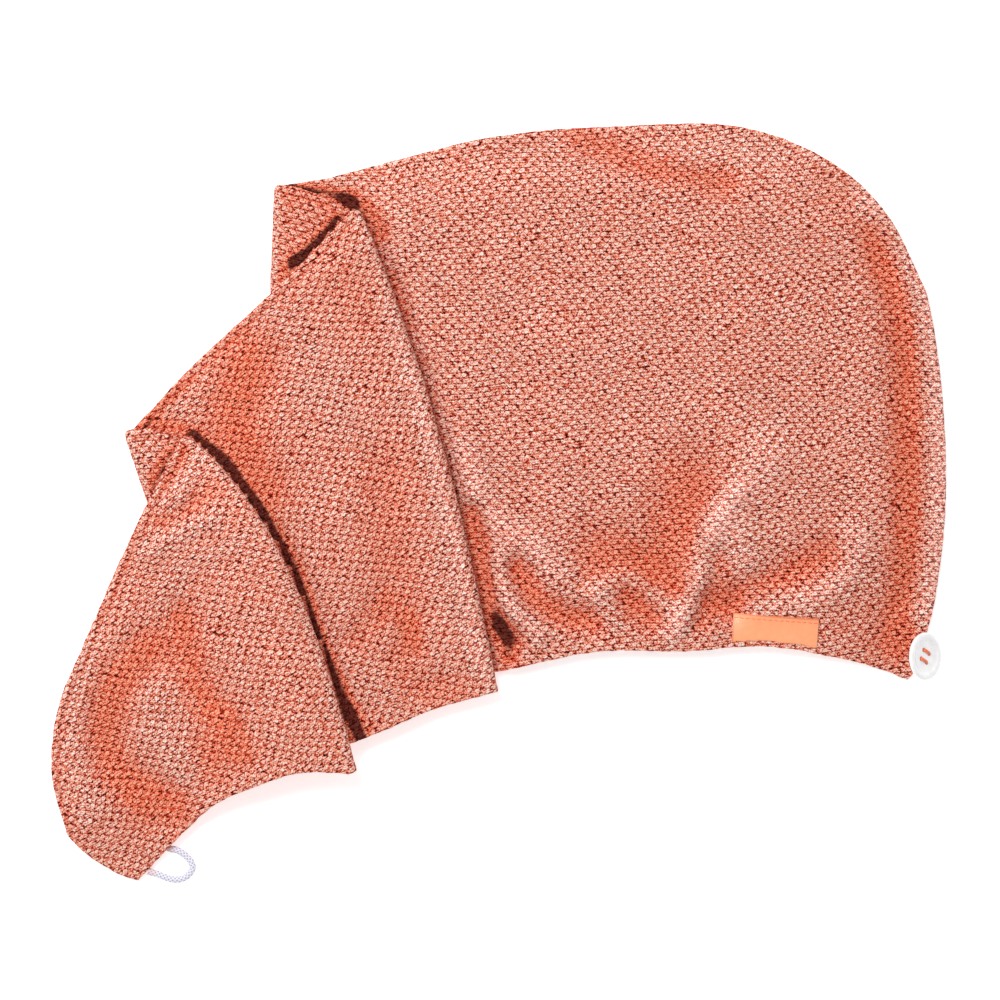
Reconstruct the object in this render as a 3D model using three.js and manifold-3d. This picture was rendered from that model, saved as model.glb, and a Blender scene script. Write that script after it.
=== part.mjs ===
// Hair turban towel, laid on its back panel with the long tail pleated over the hood.
// Millimetres. X runs from the tail's tip to the hood's end, Y from the hem to the crown, Z up.
import * as THREE from "three";
import { mergeVertices } from "three/addons/utils/BufferGeometryUtils.js";
import Module from "manifold-3d";

const wasm = await Module();
wasm.setup();

// Driving sizes of the cloth
const laidLength = 431.5; // outline of the laid towel, along X
const laidDepth = 363.8; // outline of the laid towel, along Y
const plyThickness = 1.8; // one panel of pebbled towelling
const plyGap = 0.35; // between the two panels where they lie together
const layerGap = 0.8; // between one folded layer and the next
const fallRun = 6.5; // how far a layer runs out for each millimetre that it comes down
const hoodPuff = 8.5; // how far the front panel stands off the back panel in the hood
const mouthShare = 0.72; // share of that puff left at the open hem
const seamShoulder = 34; // width over which the puff rises from the sewn edge
const cornerShoulder = 62; // width over which it rises from the hem's sewn corner
const pleatShoulder = 24; // width over which it rises beside the pleats

// Driving sizes of the button, its thread, the label and the loop
const buttonDiameter = 23;
const buttonThickness = 2.9;
const buttonTilt = 46; // degrees, its outer rim down
const buttonTurn = -26; // degrees, of the row of holes
const buttonUp = 11.5; // from the hem's corner up the sewn edge
const buttonOut = 1.6; // beyond the sewn edge
const holeDiameter = 2.3;
const holeSpacing = 4.6;
const threadDiameter = 1.5;
const shankDiameter = 3.4;
const labelLength = 40.9;
const labelHeight = 13.9;
const labelThickness = 1;
const labelPlace = 0.228; // share of the hood's hem, from its corner to the label's middle
const labelInset = 1.1; // between the hem and the middle of the label's lower edge
const labelTurn = 4; // degrees, its outer end down
const loopDiameter = 3.2;
const fitGap = 0.3; // between a piece and what it is sewn to

// Steps of the meshes
const acrossSteps = 15; // from hem to seam
const foldSteps = 5; // round each fold
const edgeCrowding = 0.06; // draws the cross lines towards hem and seam
const bowFullness = 0.75; // below 1 it makes a bowed line fuller near its ends
const sideReach = 0.12; // share of a line over which its direction is taken
const arcSamples = 14; // along a dent or a ridge
const labelSteps = { along: 9, across: 3 };
const buttonSides = 36;
const postSides = 10;
const loopSides = 8;
const loopSteps = 16;
const weldDistance = 1e-4;

// Sizes that follow
const ply = { inner: plyGap / 2, outer: plyGap / 2 + plyThickness };
const layerPitch = 2 * ply.outer + layerGap;
const foldRadius = layerPitch / 2;
const fallWidth = fallRun * 2 * layerPitch;
const floorOffset = ply.outer;

// Lines from hem to seam, from the outline's lower left corner. X and bow are shares of laidLength, Y of laidDepth.
// A bow to the right is positive, and lean above 1 moves its fullest point towards the seam.
const lines = {
  hoodEnd: { hemX: 0.955, hemY: 0.267, seamX: 0.974, seamY: 0.787, bow: 0.0345, lean: 0.85 },
  shoulder: { hemX: 0.929, hemY: 0.28, seamX: 0.933, seamY: 0.883, bow: 0.0156, lean: 1 },
  crown: { hemX: 0.878, hemY: 0.296, seamX: 0.871, seamY: 0.952, bow: 0.0045, lean: 1 },
  brow: { hemX: 0.8, hemY: 0.311, seamX: 0.771, seamY: 0.998, bow: 0, lean: 1 },
  gather: { hemX: 0.706, hemY: 0.305, seamX: 0.637, seamY: 0.999, bow: 0, lean: 1 },
  nape: { hemX: 0.606, hemY: 0.304, seamX: 0.499, seamY: 0.986, bow: 0.0067, lean: 1 },
  besidePleat: { hemX: 0.505, hemY: 0.279, seamX: 0.363, seamY: 0.947, bow: 0.0156, lean: 1.2 },
  underPleat: { hemX: 0.39, hemY: 0.254, seamX: 0.303, seamY: 0.929, bow: 0, lean: 1 },
  firstLeftFold: { hemX: 0.279, hemY: 0.241, seamX: 0.251, seamY: 0.922, bow: -0.0167, lean: 1 },
  firstReturn: { hemX: 0.381, hemY: 0.24, seamX: 0.299, seamY: 0.908, bow: 0, lean: 1 },
  firstRightFold: { hemX: 0.5, hemY: 0.252, seamX: 0.343, seamY: 0.889, bow: 0.0173, lean: 1.25 },
  topPleatA: { hemX: 0.426, hemY: 0.228, seamX: 0.292, seamY: 0.83, bow: 0.0089, lean: 1 },
  topPleatB: { hemX: 0.352, hemY: 0.191, seamX: 0.223, seamY: 0.751, bow: 0.0033, lean: 1 },
  topPleatC: { hemX: 0.281, hemY: 0.162, seamX: 0.154, seamY: 0.676, bow: 0, lean: 1 },
  secondLeftFold: { hemX: 0.208, hemY: 0.142, seamX: 0.082, seamY: 0.594, bow: 0, lean: 1 },
  secondReturn: { hemX: 0.279, hemY: 0.15, seamX: 0.117, seamY: 0.597, bow: 0.0156, lean: 1.3 },
  secondRightFold: { hemX: 0.343, hemY: 0.149, seamX: 0.152, seamY: 0.59, bow: 0.035, lean: 1.3 },
  tailA: { hemX: 0.283, hemY: 0.147, seamX: 0.107, seamY: 0.495, bow: 0.0223, lean: 1.3 },
  tailB: { hemX: 0.228, hemY: 0.127, seamX: 0.07, seamY: 0.402, bow: 0.0111, lean: 1.1 },
  tailC: { hemX: 0.183, hemY: 0.102, seamX: 0.038, seamY: 0.316, bow: 0.0045, lean: 1 },
  tailD: { hemX: 0.15, hemY: 0.067, seamX: 0.009, seamY: 0.232, bow: 0, lean: 1 },
  tailE: { hemX: 0.123, hemY: 0.034, seamX: 0.001, seamY: 0.142, bow: -0.0011, lean: 1 },
  tip: { hemX: 0.098, hemY: 0.002, seamX: 0.018, seamY: 0.063, bow: -0.0078, lean: 1 },
};

// Layers of the pleated strip, from the hood at the bottom to the tail on top.
const layers = [
  {
    name: "hood",
    steps: 25,
    lines: [
      "hoodEnd",
      "shoulder",
      "crown",
      "brow",
      "gather",
      "nape",
      "besidePleat",
      "underPleat",
      "firstLeftFold",
    ],
  },
  { name: "first return", steps: 4, lines: ["firstLeftFold", "firstReturn", "firstRightFold"] },
  {
    name: "top pleat",
    steps: 10,
    lines: ["firstRightFold", "topPleatA", "topPleatB", "topPleatC", "secondLeftFold"],
  },
  { name: "second return", steps: 4, lines: ["secondLeftFold", "secondReturn", "secondRightFold"] },
  {
    name: "tail",
    steps: 12,
    lines: ["secondRightFold", "tailA", "tailB", "tailC", "tailD", "tailE", "tip"],
  },
];

// Dents and ridges of the front panel, each on one layer along a bent path. X is a share of laidLength,
// Y and width are shares of laidDepth, and rise is a share of hoodPuff.
const creases = [
  {
    name: "crown hollow",
    on: "hood",
    path: [[0.579, 0.985], [0.66, 0.935], [0.777, 0.937]],
    rise: -0.16,
    width: 0.03,
  },
  {
    name: "main tuck",
    on: "hood",
    path: [[0.765, 0.507], [0.728, 0.42], [0.702, 0.33]],
    rise: 0.34,
    width: 0.035,
  },
  {
    name: "left hollow",
    on: "hood",
    path: [[0.715, 0.485], [0.685, 0.42], [0.65, 0.4]],
    rise: -0.3,
    width: 0.05,
  },
  {
    name: "right hollow",
    on: "hood",
    path: [[0.75, 0.4], [0.735, 0.365], [0.724, 0.33]],
    rise: -0.3,
    width: 0.03,
  },
  {
    name: "outer sweep",
    on: "hood",
    path: [[0.451, 0.564], [0.487, 0.46], [0.585, 0.396]],
    rise: 0.2,
    width: 0.035,
  },
  {
    name: "inner sweep",
    on: "hood",
    path: [[0.49, 0.445], [0.508, 0.36], [0.57, 0.32]],
    rise: 0.28,
    width: 0.03,
  },
  {
    name: "hem pocket",
    on: "hood",
    path: [[0.537, 0.4], [0.57, 0.37], [0.602, 0.357]],
    rise: -0.3,
    width: 0.035,
  },
  {
    name: "hem crest",
    on: "hood",
    path: [[0.602, 0.381], [0.645, 0.402], [0.695, 0.362]],
    rise: 0.28,
    width: 0.03,
  },
  {
    name: "far valley",
    on: "hood",
    path: [[0.752, 0.383], [0.796, 0.41], [0.835, 0.455]],
    rise: -0.24,
    width: 0.035,
  },
  {
    name: "far ridge",
    on: "hood",
    path: [[0.813, 0.36], [0.869, 0.386], [0.896, 0.445]],
    rise: 0.2,
    width: 0.035,
  },
  {
    name: "pleat edge",
    on: "top pleat",
    path: [[0.44, 0.62], [0.45, 0.47], [0.455, 0.33]],
    rise: 0.16,
    width: 0.05,
  },
  {
    name: "pleat crest",
    on: "top pleat",
    path: [[0.2, 0.62], [0.24, 0.66], [0.29, 0.73]],
    rise: 0.16,
    width: 0.045,
  },
  {
    name: "tail ridge",
    on: "tail",
    path: [[0.12, 0.42], [0.135, 0.28], [0.15, 0.14]],
    rise: 0.2,
    width: 0.05,
  },
  {
    name: "tail crest",
    on: "tail",
    path: [[0.19, 0.45], [0.25, 0.33], [0.29, 0.2]],
    rise: 0.16,
    width: 0.045,
  },
];

// Route of the loop's middle line from the tip's hem corner, in millimetres, on the surface that it lies on.
const loopRoute = [
  [15.6, 14.9],
  [18.0, 14.6],
  [20.8, 13.2],
  [23.3, 11.2],
  [25.3, 8.8],
  [26.0, 5.9],
  [24.8, 3.4],
  [22.6, 1.4],
  [19.4, 0.3],
  [15.7, 0.5],
  [12.1, 1.7],
  [9.2, 2.9],
  [6.6, 3.6],
];

const colours = {
  cloth: 0xd08570,
  underCloth: 0xc07862,
  button: 0xf4f2f0,
  thread: 0xf0864a,
  label: 0xf2a070,
  loop: 0xe6e4ee,
};

function smooth(value) {
  return THREE.MathUtils.smoothstep(value, 0, 1);
}

// Point of a line at a share from hem to seam.
function linePoint(line, share) {
  const hem = new THREE.Vector2(line.hemX * laidLength, line.hemY * laidDepth);
  const seam = new THREE.Vector2(line.seamX * laidLength, line.seamY * laidDepth);
  const chord = seam.clone().sub(hem);
  const bow = line.bow * laidLength * Math.sin(Math.PI * share ** line.lean) ** bowFullness;
  const side = new THREE.Vector2(chord.y, -chord.x).normalize();
  return hem.addScaledVector(chord, share).addScaledVector(side, bow || 0);
}

// Direction to the right of a line, taken over a stretch wide enough to stay steady at its ends.
function lineSide(line, share) {
  const below = linePoint(line, Math.max(share - sideReach, 0));
  const above = linePoint(line, Math.min(share + sideReach, 1));
  const along = above.sub(below).normalize();
  return new THREE.Vector2(along.y, -along.x);
}

// How far a point lies to the right of a line, in millimetres.
function rightOf(line, x, y) {
  const share = THREE.MathUtils.clamp((y / laidDepth - line.hemY) / (line.seamY - line.hemY), 0, 1);
  const onLine = linePoint(line, share);
  const chordX = (line.seamX - line.hemX) * laidLength;
  const chordY = (line.seamY - line.hemY) * laidDepth;
  const lineX = onLine.x + ((y - onLine.y) * chordX) / chordY;
  return ((x - lineX) * chordY) / Math.hypot(chordX, chordY);
}

// 1 where a layer lies over the fold at this line, and 0 where it has come down beside it.
function carriedBy(line, x, y) {
  return smooth((rightOf(line, x, y) + fallWidth) / fallWidth);
}

// Height of a layer's middle above the hood's middle.
function layerHeight(layer, x, y) {
  if (layer < 2) return layer * layerPitch;
  const underTop = 2 * layerPitch * carriedBy(lines.firstLeftFold, x, y);
  if (layer < 4) return underTop + (layer - 2) * layerPitch;
  return underTop + 2 * layerPitch * carriedBy(lines.secondLeftFold, x, y);
}

// A fold bulges to the left after the hood and the top pleat, and to the right after the returns.
function foldSide(layer) {
  return layer % 2 ? 1 : -1;
}

// Curve of one layer from line to line at a share from hem to seam. At a fold it stops where the turn starts.
function layerCurve(layer, share) {
  const names = layers[layer].lines;
  const inset = foldRadius + ply.outer;
  const foldBefore = layer > 0 ? foldSide(layer - 1) : 0;
  const foldAfter = layer < layers.length - 1 ? foldSide(layer) : 0;
  const points = names.map((name, index) => {
    const point = linePoint(lines[name], share);
    const side = lineSide(lines[name], share);
    if (index === 0) point.addScaledVector(side, -foldBefore * inset);
    if (index === names.length - 1) point.addScaledVector(side, -foldAfter * inset);
    return new THREE.Vector3(point.x, point.y, 0);
  });
  return new THREE.CatmullRomCurve3(points, false, "centripetal");
}

// Shares from hem to seam, closer together near both.
const shares = Array.from({ length: acrossSteps + 1 }, (_, index) => {
  const even = index / acrossSteps;
  return even - edgeCrowding * Math.sin(2 * Math.PI * even);
});

// Middle surface between the two panels: one column of points from hem to seam at each step along the strip.
function makeColumns() {
  const columns = [];
  layers.forEach(({ steps }, layer) => {
    const curves = shares.map((share) => layerCurve(layer, share));
    const lengths = curves.map((curve) => curve.getLength());
    for (let step = 0; step <= steps; step++) {
      const points = curves.map((curve) => {
        const point = curve.getPointAt(step / steps);
        point.z = floorOffset + layerHeight(layer, point.x, point.y);
        return point;
      });
      const fromEnd = lengths.map((length) => (length * step) / steps);
      const toNext = lengths.map((length) => length * (1 - step / steps));
      columns.push({ layer, points, fromEnd, toNext });
    }
    if (layer === layers.length - 1) return;
    const fold = lines[layers[layer].lines.at(-1)];
    const starts = curves.map((curve) => curve.getPointAt(1));
    for (let step = 1; step < foldSteps; step++) {
      const turn = Math.PI * (step / foldSteps - 0.5);
      const points = starts.map((start, index) => {
        const out = foldSide(layer) * foldRadius * Math.cos(turn);
        const side = lineSide(fold, shares[index]).multiplyScalar(out);
        const [x, y] = [start.x + side.x, start.y + side.y];
        const height = layerHeight(layer, x, y) + foldRadius * (1 + Math.sin(turn));
        return new THREE.Vector3(x, y, floorOffset + height);
      });
      columns.push({ layer, points, fold: true });
    }
  });
  return columns;
}

const columns = makeColumns();

// Unit normal of the middle surface, from the front panel's side.
function normalAt(column, index) {
  const before = columns[Math.max(column - 1, 0)].points[index];
  const after = columns[Math.min(column + 1, columns.length - 1)].points[index];
  const { points } = columns[column];
  const below = points[Math.max(index - 1, 0)];
  const above = points[Math.min(index + 1, acrossSteps)];
  const along = after.clone().sub(before);
  return above.clone().sub(below).cross(along).normalize();
}

// Points along a bent path given by its start, its bend and its end.
function bentPath(path) {
  const corners = path.map(([x, y]) => new THREE.Vector2(x * laidLength, y * laidDepth));
  return new THREE.SplineCurve(corners).getPoints(arcSamples);
}

const crests = creases.map((crease) => ({ ...crease, points: bentPath(crease.path) }));

// Rise or fall of the front panel at a point, from the dents and ridges of one layer.
function creaseRise(layer, point) {
  let rise = 0;
  for (const crest of crests.filter(({ on }) => on === layers[layer].name)) {
    const distances = crest.points.map((spot) => Math.hypot(spot.x - point.x, spot.y - point.y));
    const away = Math.min(...distances) / (crest.width * laidDepth);
    if (away < 1) rise += crest.rise * hoodPuff * (1 - away * away) ** 2;
  }
  return rise;
}

// How far the front panel stands off its resting place at a point of the middle surface.
function frontLift({ layer, points, fromEnd, toNext, fold }, index) {
  const point = points[index];
  if (fold || layer % 2) return 0;
  const last = points.length - 1;
  const toSeam = point.distanceTo(points[last]);
  const toHem = point.distanceTo(points[0]);
  const atSeam = smooth(toSeam / seamShoulder);
  if (layer > 0) {
    const atEnds = smooth(Math.min(fromEnd[index], toNext[index]) / seamShoulder);
    return Math.max(creaseRise(layer, point), 0) * atSeam * atEnds;
  }
  const toPleat = rightOf(lines.firstRightFold, point.x, point.y);
  const shoulder = THREE.MathUtils.lerp(cornerShoulder, seamShoulder, smooth(toHem / cornerShoulder));
  const open = atSeam * smooth(fromEnd[index] / shoulder) * smooth(toPleat / pleatShoulder);
  const puff = hoodPuff * THREE.MathUtils.lerp(mouthShare, 1, smooth(toHem / seamShoulder));
  return Math.max(puff + creaseRise(layer, point), 0) * open;
}

// Closed sheet between two grids of points, given column by column.
function sheetGeometry(lower, upper) {
  const rows = lower[0].length;
  const count = lower.length * rows;
  const positions = [...lower.flat(), ...upper.flat()].flatMap((point) => point.toArray());
  const faces = [];
  const quad = (a, b, c, d) => faces.push(a, b, c, a, c, d);
  const at = (column, row) => column * rows + row;
  for (let column = 0; column < lower.length - 1; column++) {
    for (let row = 0; row < rows - 1; row++) {
      const next = column + 1;
      const corners = [at(column, row), at(column, row + 1), at(next, row + 1), at(next, row)];
      quad(...corners.map((corner) => corner + count));
      quad(...corners.reverse());
    }
    const sides = [
      [0, column, column + 1],
      [rows - 1, column + 1, column],
    ];
    for (const [row, near, far] of sides) {
      quad(at(far, row), at(near, row), at(near, row) + count, at(far, row) + count);
    }
  }
  for (let row = 0; row < rows - 1; row++) {
    const last = lower.length - 1;
    quad(at(0, row), at(0, row + 1), at(0, row + 1) + count, at(0, row) + count);
    quad(at(last, row + 1), at(last, row), at(last, row) + count, at(last, row + 1) + count);
  }
  const geometry = new THREE.BufferGeometry();
  geometry.setAttribute("position", new THREE.Float32BufferAttribute(positions, 3));
  geometry.setIndex(faces);
  return geometry;
}

// One panel: the middle surface moved out to the panel's two faces, and lifted on the front.
function panelGeometry(side) {
  const grids = [side * ply.inner, side * ply.outer].map((offset) =>
    columns.map((column, index) =>
      column.points.map((point, row) => {
        const moved = point.clone().addScaledVector(normalAt(index, row), offset);
        if (side > 0) moved.z += frontLift(column, row);
        return moved;
      }),
    ),
  );
  return side > 0 ? sheetGeometry(...grids) : sheetGeometry(...grids.reverse());
}

// Manifold solid of a closed geometry.
function solidOf(geometry) {
  const bare = geometry.index ? geometry.toNonIndexed() : geometry.clone();
  const plain = new THREE.BufferGeometry().setAttribute("position", bare.getAttribute("position"));
  const merged = mergeVertices(plain, weldDistance);
  const mesh = new wasm.Mesh({
    numProp: 3,
    vertProperties: merged.attributes.position.array,
    triVerts: new Uint32Array(merged.index.array),
  });
  return new wasm.Manifold(mesh);
}

function geometryOf(solid) {
  const mesh = solid.getMesh();
  const geometry = new THREE.BufferGeometry();
  geometry.setAttribute("position", new THREE.BufferAttribute(mesh.vertProperties, 3));
  geometry.setIndex(new THREE.BufferAttribute(mesh.triVerts, 1));
  return geometry;
}

function makeMesh(name, geometry, colour, roughness) {
  const material = new THREE.MeshStandardMaterial({ color: colour, roughness, metalness: 0 });
  const mesh = new THREE.Mesh(geometry, material);
  mesh.name = name;
  return mesh;
}

// Height of the front panel's outer face under a point.
function clothTop(panel, x, y) {
  const ray = new THREE.Raycaster(new THREE.Vector3(x, y, laidDepth), new THREE.Vector3(0, 0, -1));
  return ray.intersectObject(panel)[0].point.z;
}

// Middles of the four holes, in the button's own plane.
const holes = [0, 1, 2, 3].map((corner) => {
  const angle = Math.PI * (0.25 + 0.5 * corner);
  return new THREE.Vector2(Math.cos(angle), Math.sin(angle)).multiplyScalar(holeSpacing * Math.SQRT1_2);
});

// Round post standing along the button's axis from one height to another.
function post(diameter, from, to, spot) {
  const geometry = new THREE.CylinderGeometry(diameter / 2, diameter / 2, to - from, postSides);
  return geometry.rotateX(Math.PI / 2).translate(spot.x, spot.y, (from + to) / 2);
}

// Four-hole button with a rounded rim and a dished face, drilled along its axis. The profile runs from the
// middle of the back round the rim to the middle of the dish, in shares of the radius and the half thickness.
const dishFloor = 0.32;
const buttonProfile = [
  [0, -1],
  [0.8, -1],
  [0.96, -0.55],
  [1, 0.1],
  [0.97, 0.75],
  [0.9, 1],
  [0.82, 0.85],
  [0.7, dishFloor],
  [0, dishFloor],
];
function buttonSolid() {
  const half = new THREE.Vector2(buttonDiameter / 2, buttonThickness / 2);
  const profile = buttonProfile.map(([x, y]) => new THREE.Vector2(x, y).multiply(half));
  let solid = solidOf(new THREE.LatheGeometry(profile, buttonSides).rotateX(Math.PI / 2));
  for (const hole of holes) {
    solid = solid.subtract(solidOf(post(holeDiameter, -buttonThickness, buttonThickness, hole)));
  }
  return solid;
}

// Thread through the holes: two bars on the face, a knot at the back and a shank that leans down to the cloth.
function threadSolid(place, panel) {
  const faceHeight = (dishFloor * buttonThickness) / 2 + fitGap;
  const backHeight = -buttonThickness / 2 - fitGap;
  const barTop = faceHeight + threadDiameter;
  const knotHeight = backHeight - threadDiameter;
  const centre = new THREE.Vector2();
  const pieces = holes.map((hole) => post(threadDiameter, knotHeight, barTop, hole));
  for (const y of [holes[0].y, holes[2].y]) {
    const bar = new THREE.BoxGeometry(holeSpacing, threadDiameter, threadDiameter);
    pieces.push(bar.translate(0, y, faceHeight + threadDiameter / 2));
  }
  pieces.push(post(holeSpacing * Math.SQRT2 + threadDiameter, knotHeight, backHeight, centre));
  pieces.push(post(shankDiameter, -buttonDiameter, backHeight, centre));
  const solids = pieces.map((piece) => solidOf(piece.applyMatrix4(place)));
  const joined = solids.reduce((whole, piece) => whole.add(piece));
  const back = new THREE.Vector3(0, 0, knotHeight).applyMatrix4(place);
  const slope = Math.tan(THREE.MathUtils.degToRad(buttonTilt));
  const footX = back.x - (back.z - floorOffset - ply.outer) * slope;
  const foot = clothTop(panel, footX, back.y) + fitGap;
  const blockSize = 4 * buttonDiameter;
  const block = new THREE.BoxGeometry(blockSize, blockSize, blockSize);
  return joined.subtract(solidOf(block.translate(back.x, back.y, foot - blockSize / 2)));
}

// Button's place: over the hem's sewn corner, leaning on its lower rim.
function buttonPlace() {
  const corner = linePoint(lines.hoodEnd, 0);
  const edgeLength = (lines.hoodEnd.seamY - lines.hoodEnd.hemY) * laidDepth;
  const edge = linePoint(lines.hoodEnd, buttonUp / edgeLength);
  const tilt = THREE.MathUtils.degToRad(buttonTilt);
  const height = (buttonDiameter / 2) * Math.sin(tilt) + (buttonThickness / 2) * Math.cos(tilt);
  return new THREE.Matrix4()
    .makeTranslation(edge.x + buttonOut, corner.y + buttonUp, height)
    .multiply(new THREE.Matrix4().makeRotationY(tilt))
    .multiply(new THREE.Matrix4().makeRotationZ(THREE.MathUtils.degToRad(buttonTurn)));
}

// Label laid straight above the hem on the front panel, bent to the cloth under it.
function labelGeometry(panel) {
  const { along, across } = labelSteps;
  const start = layerCurve(0, 0).getPointAt(labelPlace);
  const turn = THREE.MathUtils.degToRad(labelTurn);
  const ahead = new THREE.Vector2(-Math.cos(turn), Math.sin(turn));
  const grid = [0, labelThickness].map((lift) =>
    Array.from({ length: along + 1 }, (_, column) => {
      const forward = (column / along - 0.5) * labelLength;
      return Array.from({ length: across + 1 }, (_, row) => {
        const inward = labelInset + (row / across) * labelHeight;
        const x = start.x + ahead.x * forward + ahead.y * inward;
        const y = start.y + ahead.y * forward - ahead.x * inward;
        return new THREE.Vector3(x, y, clothTop(panel, x, y) + fitGap + lift);
      });
    }),
  );
  return sheetGeometry(...grid);
}

// Elastic loop that leaves the tip's hem and comes back to it.
function loopGeometry() {
  const tip = linePoint(lines.tip, 0);
  const height = loopDiameter / 2 + plyGap;
  const route = loopRoute.map(([x, y]) => new THREE.Vector3(tip.x + x, tip.y + y, height));
  const section = new THREE.Shape(
    Array.from({ length: loopSides }, (_, corner) => {
      const angle = (2 * Math.PI * (corner + 0.5)) / loopSides;
      return new THREE.Vector2(Math.cos(angle), Math.sin(angle)).multiplyScalar(loopDiameter / 2);
    }),
  );
  const extrudePath = new THREE.CatmullRomCurve3(route, false, "centripetal");
  return new THREE.ExtrudeGeometry(section, { steps: loopSteps, extrudePath, bevelEnabled: false });
}

const front = makeMesh("front_panel", panelGeometry(1), colours.cloth, 0.95);
const back = makeMesh("back_panel", panelGeometry(-1), colours.underCloth, 0.95);
const place = buttonPlace();
const button = makeMesh("button", geometryOf(buttonSolid()), colours.button, 0.2);
button.applyMatrix4(place);
const thread = makeMesh("button_thread", geometryOf(threadSolid(place, front)), colours.thread, 0.6);
const label = makeMesh("side_label", labelGeometry(front), colours.label, 0.4);
const loop = makeMesh("elastic_loop", loopGeometry(), colours.loop, 0.7);

// The towel stands over the origin: the middle of its outline, on the surface.
const towel = new THREE.Group();
towel.add(front, back, button, thread, label);
const outline = new THREE.Box3().setFromObject(towel, true);
const middle = outline.getCenter(new THREE.Vector3());
towel.add(loop);
towel.position.set(-middle.x, -middle.y, -outline.min.z);

export default towel;
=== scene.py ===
import math
from collections import namedtuple

import bmesh
import bpy
import numpy as np
from mathutils import Matrix, Vector, noise
from mathutils.bvhtree import BVHTree


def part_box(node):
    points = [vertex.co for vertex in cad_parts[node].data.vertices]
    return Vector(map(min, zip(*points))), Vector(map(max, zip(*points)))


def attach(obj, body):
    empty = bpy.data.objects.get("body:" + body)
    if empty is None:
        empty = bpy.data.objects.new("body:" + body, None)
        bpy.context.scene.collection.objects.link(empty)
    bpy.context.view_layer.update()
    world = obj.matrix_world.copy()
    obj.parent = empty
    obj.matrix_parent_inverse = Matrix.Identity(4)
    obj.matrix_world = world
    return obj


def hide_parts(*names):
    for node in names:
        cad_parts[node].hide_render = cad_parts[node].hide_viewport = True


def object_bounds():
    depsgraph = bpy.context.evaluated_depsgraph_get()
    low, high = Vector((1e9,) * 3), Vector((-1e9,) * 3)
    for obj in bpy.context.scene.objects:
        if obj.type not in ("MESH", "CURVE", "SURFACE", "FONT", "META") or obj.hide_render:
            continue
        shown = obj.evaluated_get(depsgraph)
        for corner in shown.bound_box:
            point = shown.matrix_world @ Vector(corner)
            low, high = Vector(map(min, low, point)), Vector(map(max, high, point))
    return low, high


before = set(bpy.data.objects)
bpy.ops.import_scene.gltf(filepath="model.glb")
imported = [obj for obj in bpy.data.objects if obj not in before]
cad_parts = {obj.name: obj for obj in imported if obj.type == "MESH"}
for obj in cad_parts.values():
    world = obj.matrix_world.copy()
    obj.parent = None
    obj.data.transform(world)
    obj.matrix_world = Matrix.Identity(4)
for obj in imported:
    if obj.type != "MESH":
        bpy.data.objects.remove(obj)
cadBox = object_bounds()
print("frame loaded, box", [list(corner) for corner in cadBox])

# Camera straight above the towel, as the photograph looks down on it. Everything is in metres.
view = {
    "distance": 2.4,  # from the cloth up to the camera
    "clothHeight": 0.008,
    "across": 0.4802,  # width of cloth in the frame
    "aim": (0.00075, 0.00093),
    "sensor": 36,  # millimetres
}

# Sizes of the cloth
towel = {
    "laidLength": 0.4315,  # outline of the laid towel, along X
    "laidDepth": 0.3638,  # along Y
    "corner": (-0.215578, -0.182669),  # lower left corner of that outline
    "plyThickness": 0.0018,
    "plyGap": 0.00035,  # between the two panels where they lie together
    "layerGap": 0.0008,  # between one folded layer and the next
    "fallRun": 6.5,  # how far a layer runs out for each millimetre that it comes down
    "hoodPuff": 0.0085,  # how far the front panel stands off the back panel in the hood
    "mouthShare": 0.72,  # share of that puff left at the open hem
    "seamShoulder": 0.034,  # width over which the puff rises from the sewn edge
    "cornerShoulder": 0.062,
    "pleatShoulder": 0.009,
    "pleatRise": 0.001,  # how far the first right fold stands off the hood
    "tailRise": 0.0036,  # how far the second one stands off the pleat under it
    "foldReach": 0.026,  # width over which they rise to that
    "foldFade": 0.045,  # how far from the seam they reach it
    "pleatPuff": 0.0022,  # how far the front panel stands off the back panel in the pleats
    "bowFullness": 0.75,
    "seamRound": 0.0026,  # the rolled edge along the seam
    "hemRound": 0.0011,
    "lipInset": 0.0043,  # from the seam's edge to the crevice inside its lip
    "lipDepth": 0.0013,
    "lipWidth": 0.0009,
    "foldSteps": 10,
    "frontSpacing": 0.00226,  # of the front panel's mesh, which stays under 200,000 triangles
    "backSpacing": 0.0027,
    "pebble": 0.00034,  # height of the cloth's own unevenness
    "ripple": 0.0006,  # height of its slow waves
    "rimBumps": 0.00055,  # how far the hem and the seam wander
    "rimReach": 0.007,
    "rippleScale": 38,  # waves in a metre
    "pebbleScale": 290,
    "rimScale": 260,
    "stripWidth": 0.25,  # from hem to seam, for the mesh's steps
    "edgeSteps": [0, 0.00025, 0.0006, 0.0011, 0.0018, 0.0027, 0.0035, 0.0043, 0.0051, 0.0062],
    "endShares": [0.12, 0.3, 0.55],  # of the first step at a sewn end
    "pleatHemShare": 0.3,  # share of the pleats' puff left at the hem
    "tailClearance": 0.012,  # width beside the tail over which the pleat under it puffs up
    "dentReserve": 0.0002,  # how far a dent may press a pleat below its resting place
    "dentMargin": 0.008,  # from the edges to where a dent counts in full
    "dentPleatMargin": 0.006,
}
outerPly = towel["plyGap"] / 2 + towel["plyThickness"]
layerPitch = 2 * outerPly + towel["layerGap"]
foldRadius = layerPitch / 2
fallWidth = towel["fallRun"] * 2 * layerPitch

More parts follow.
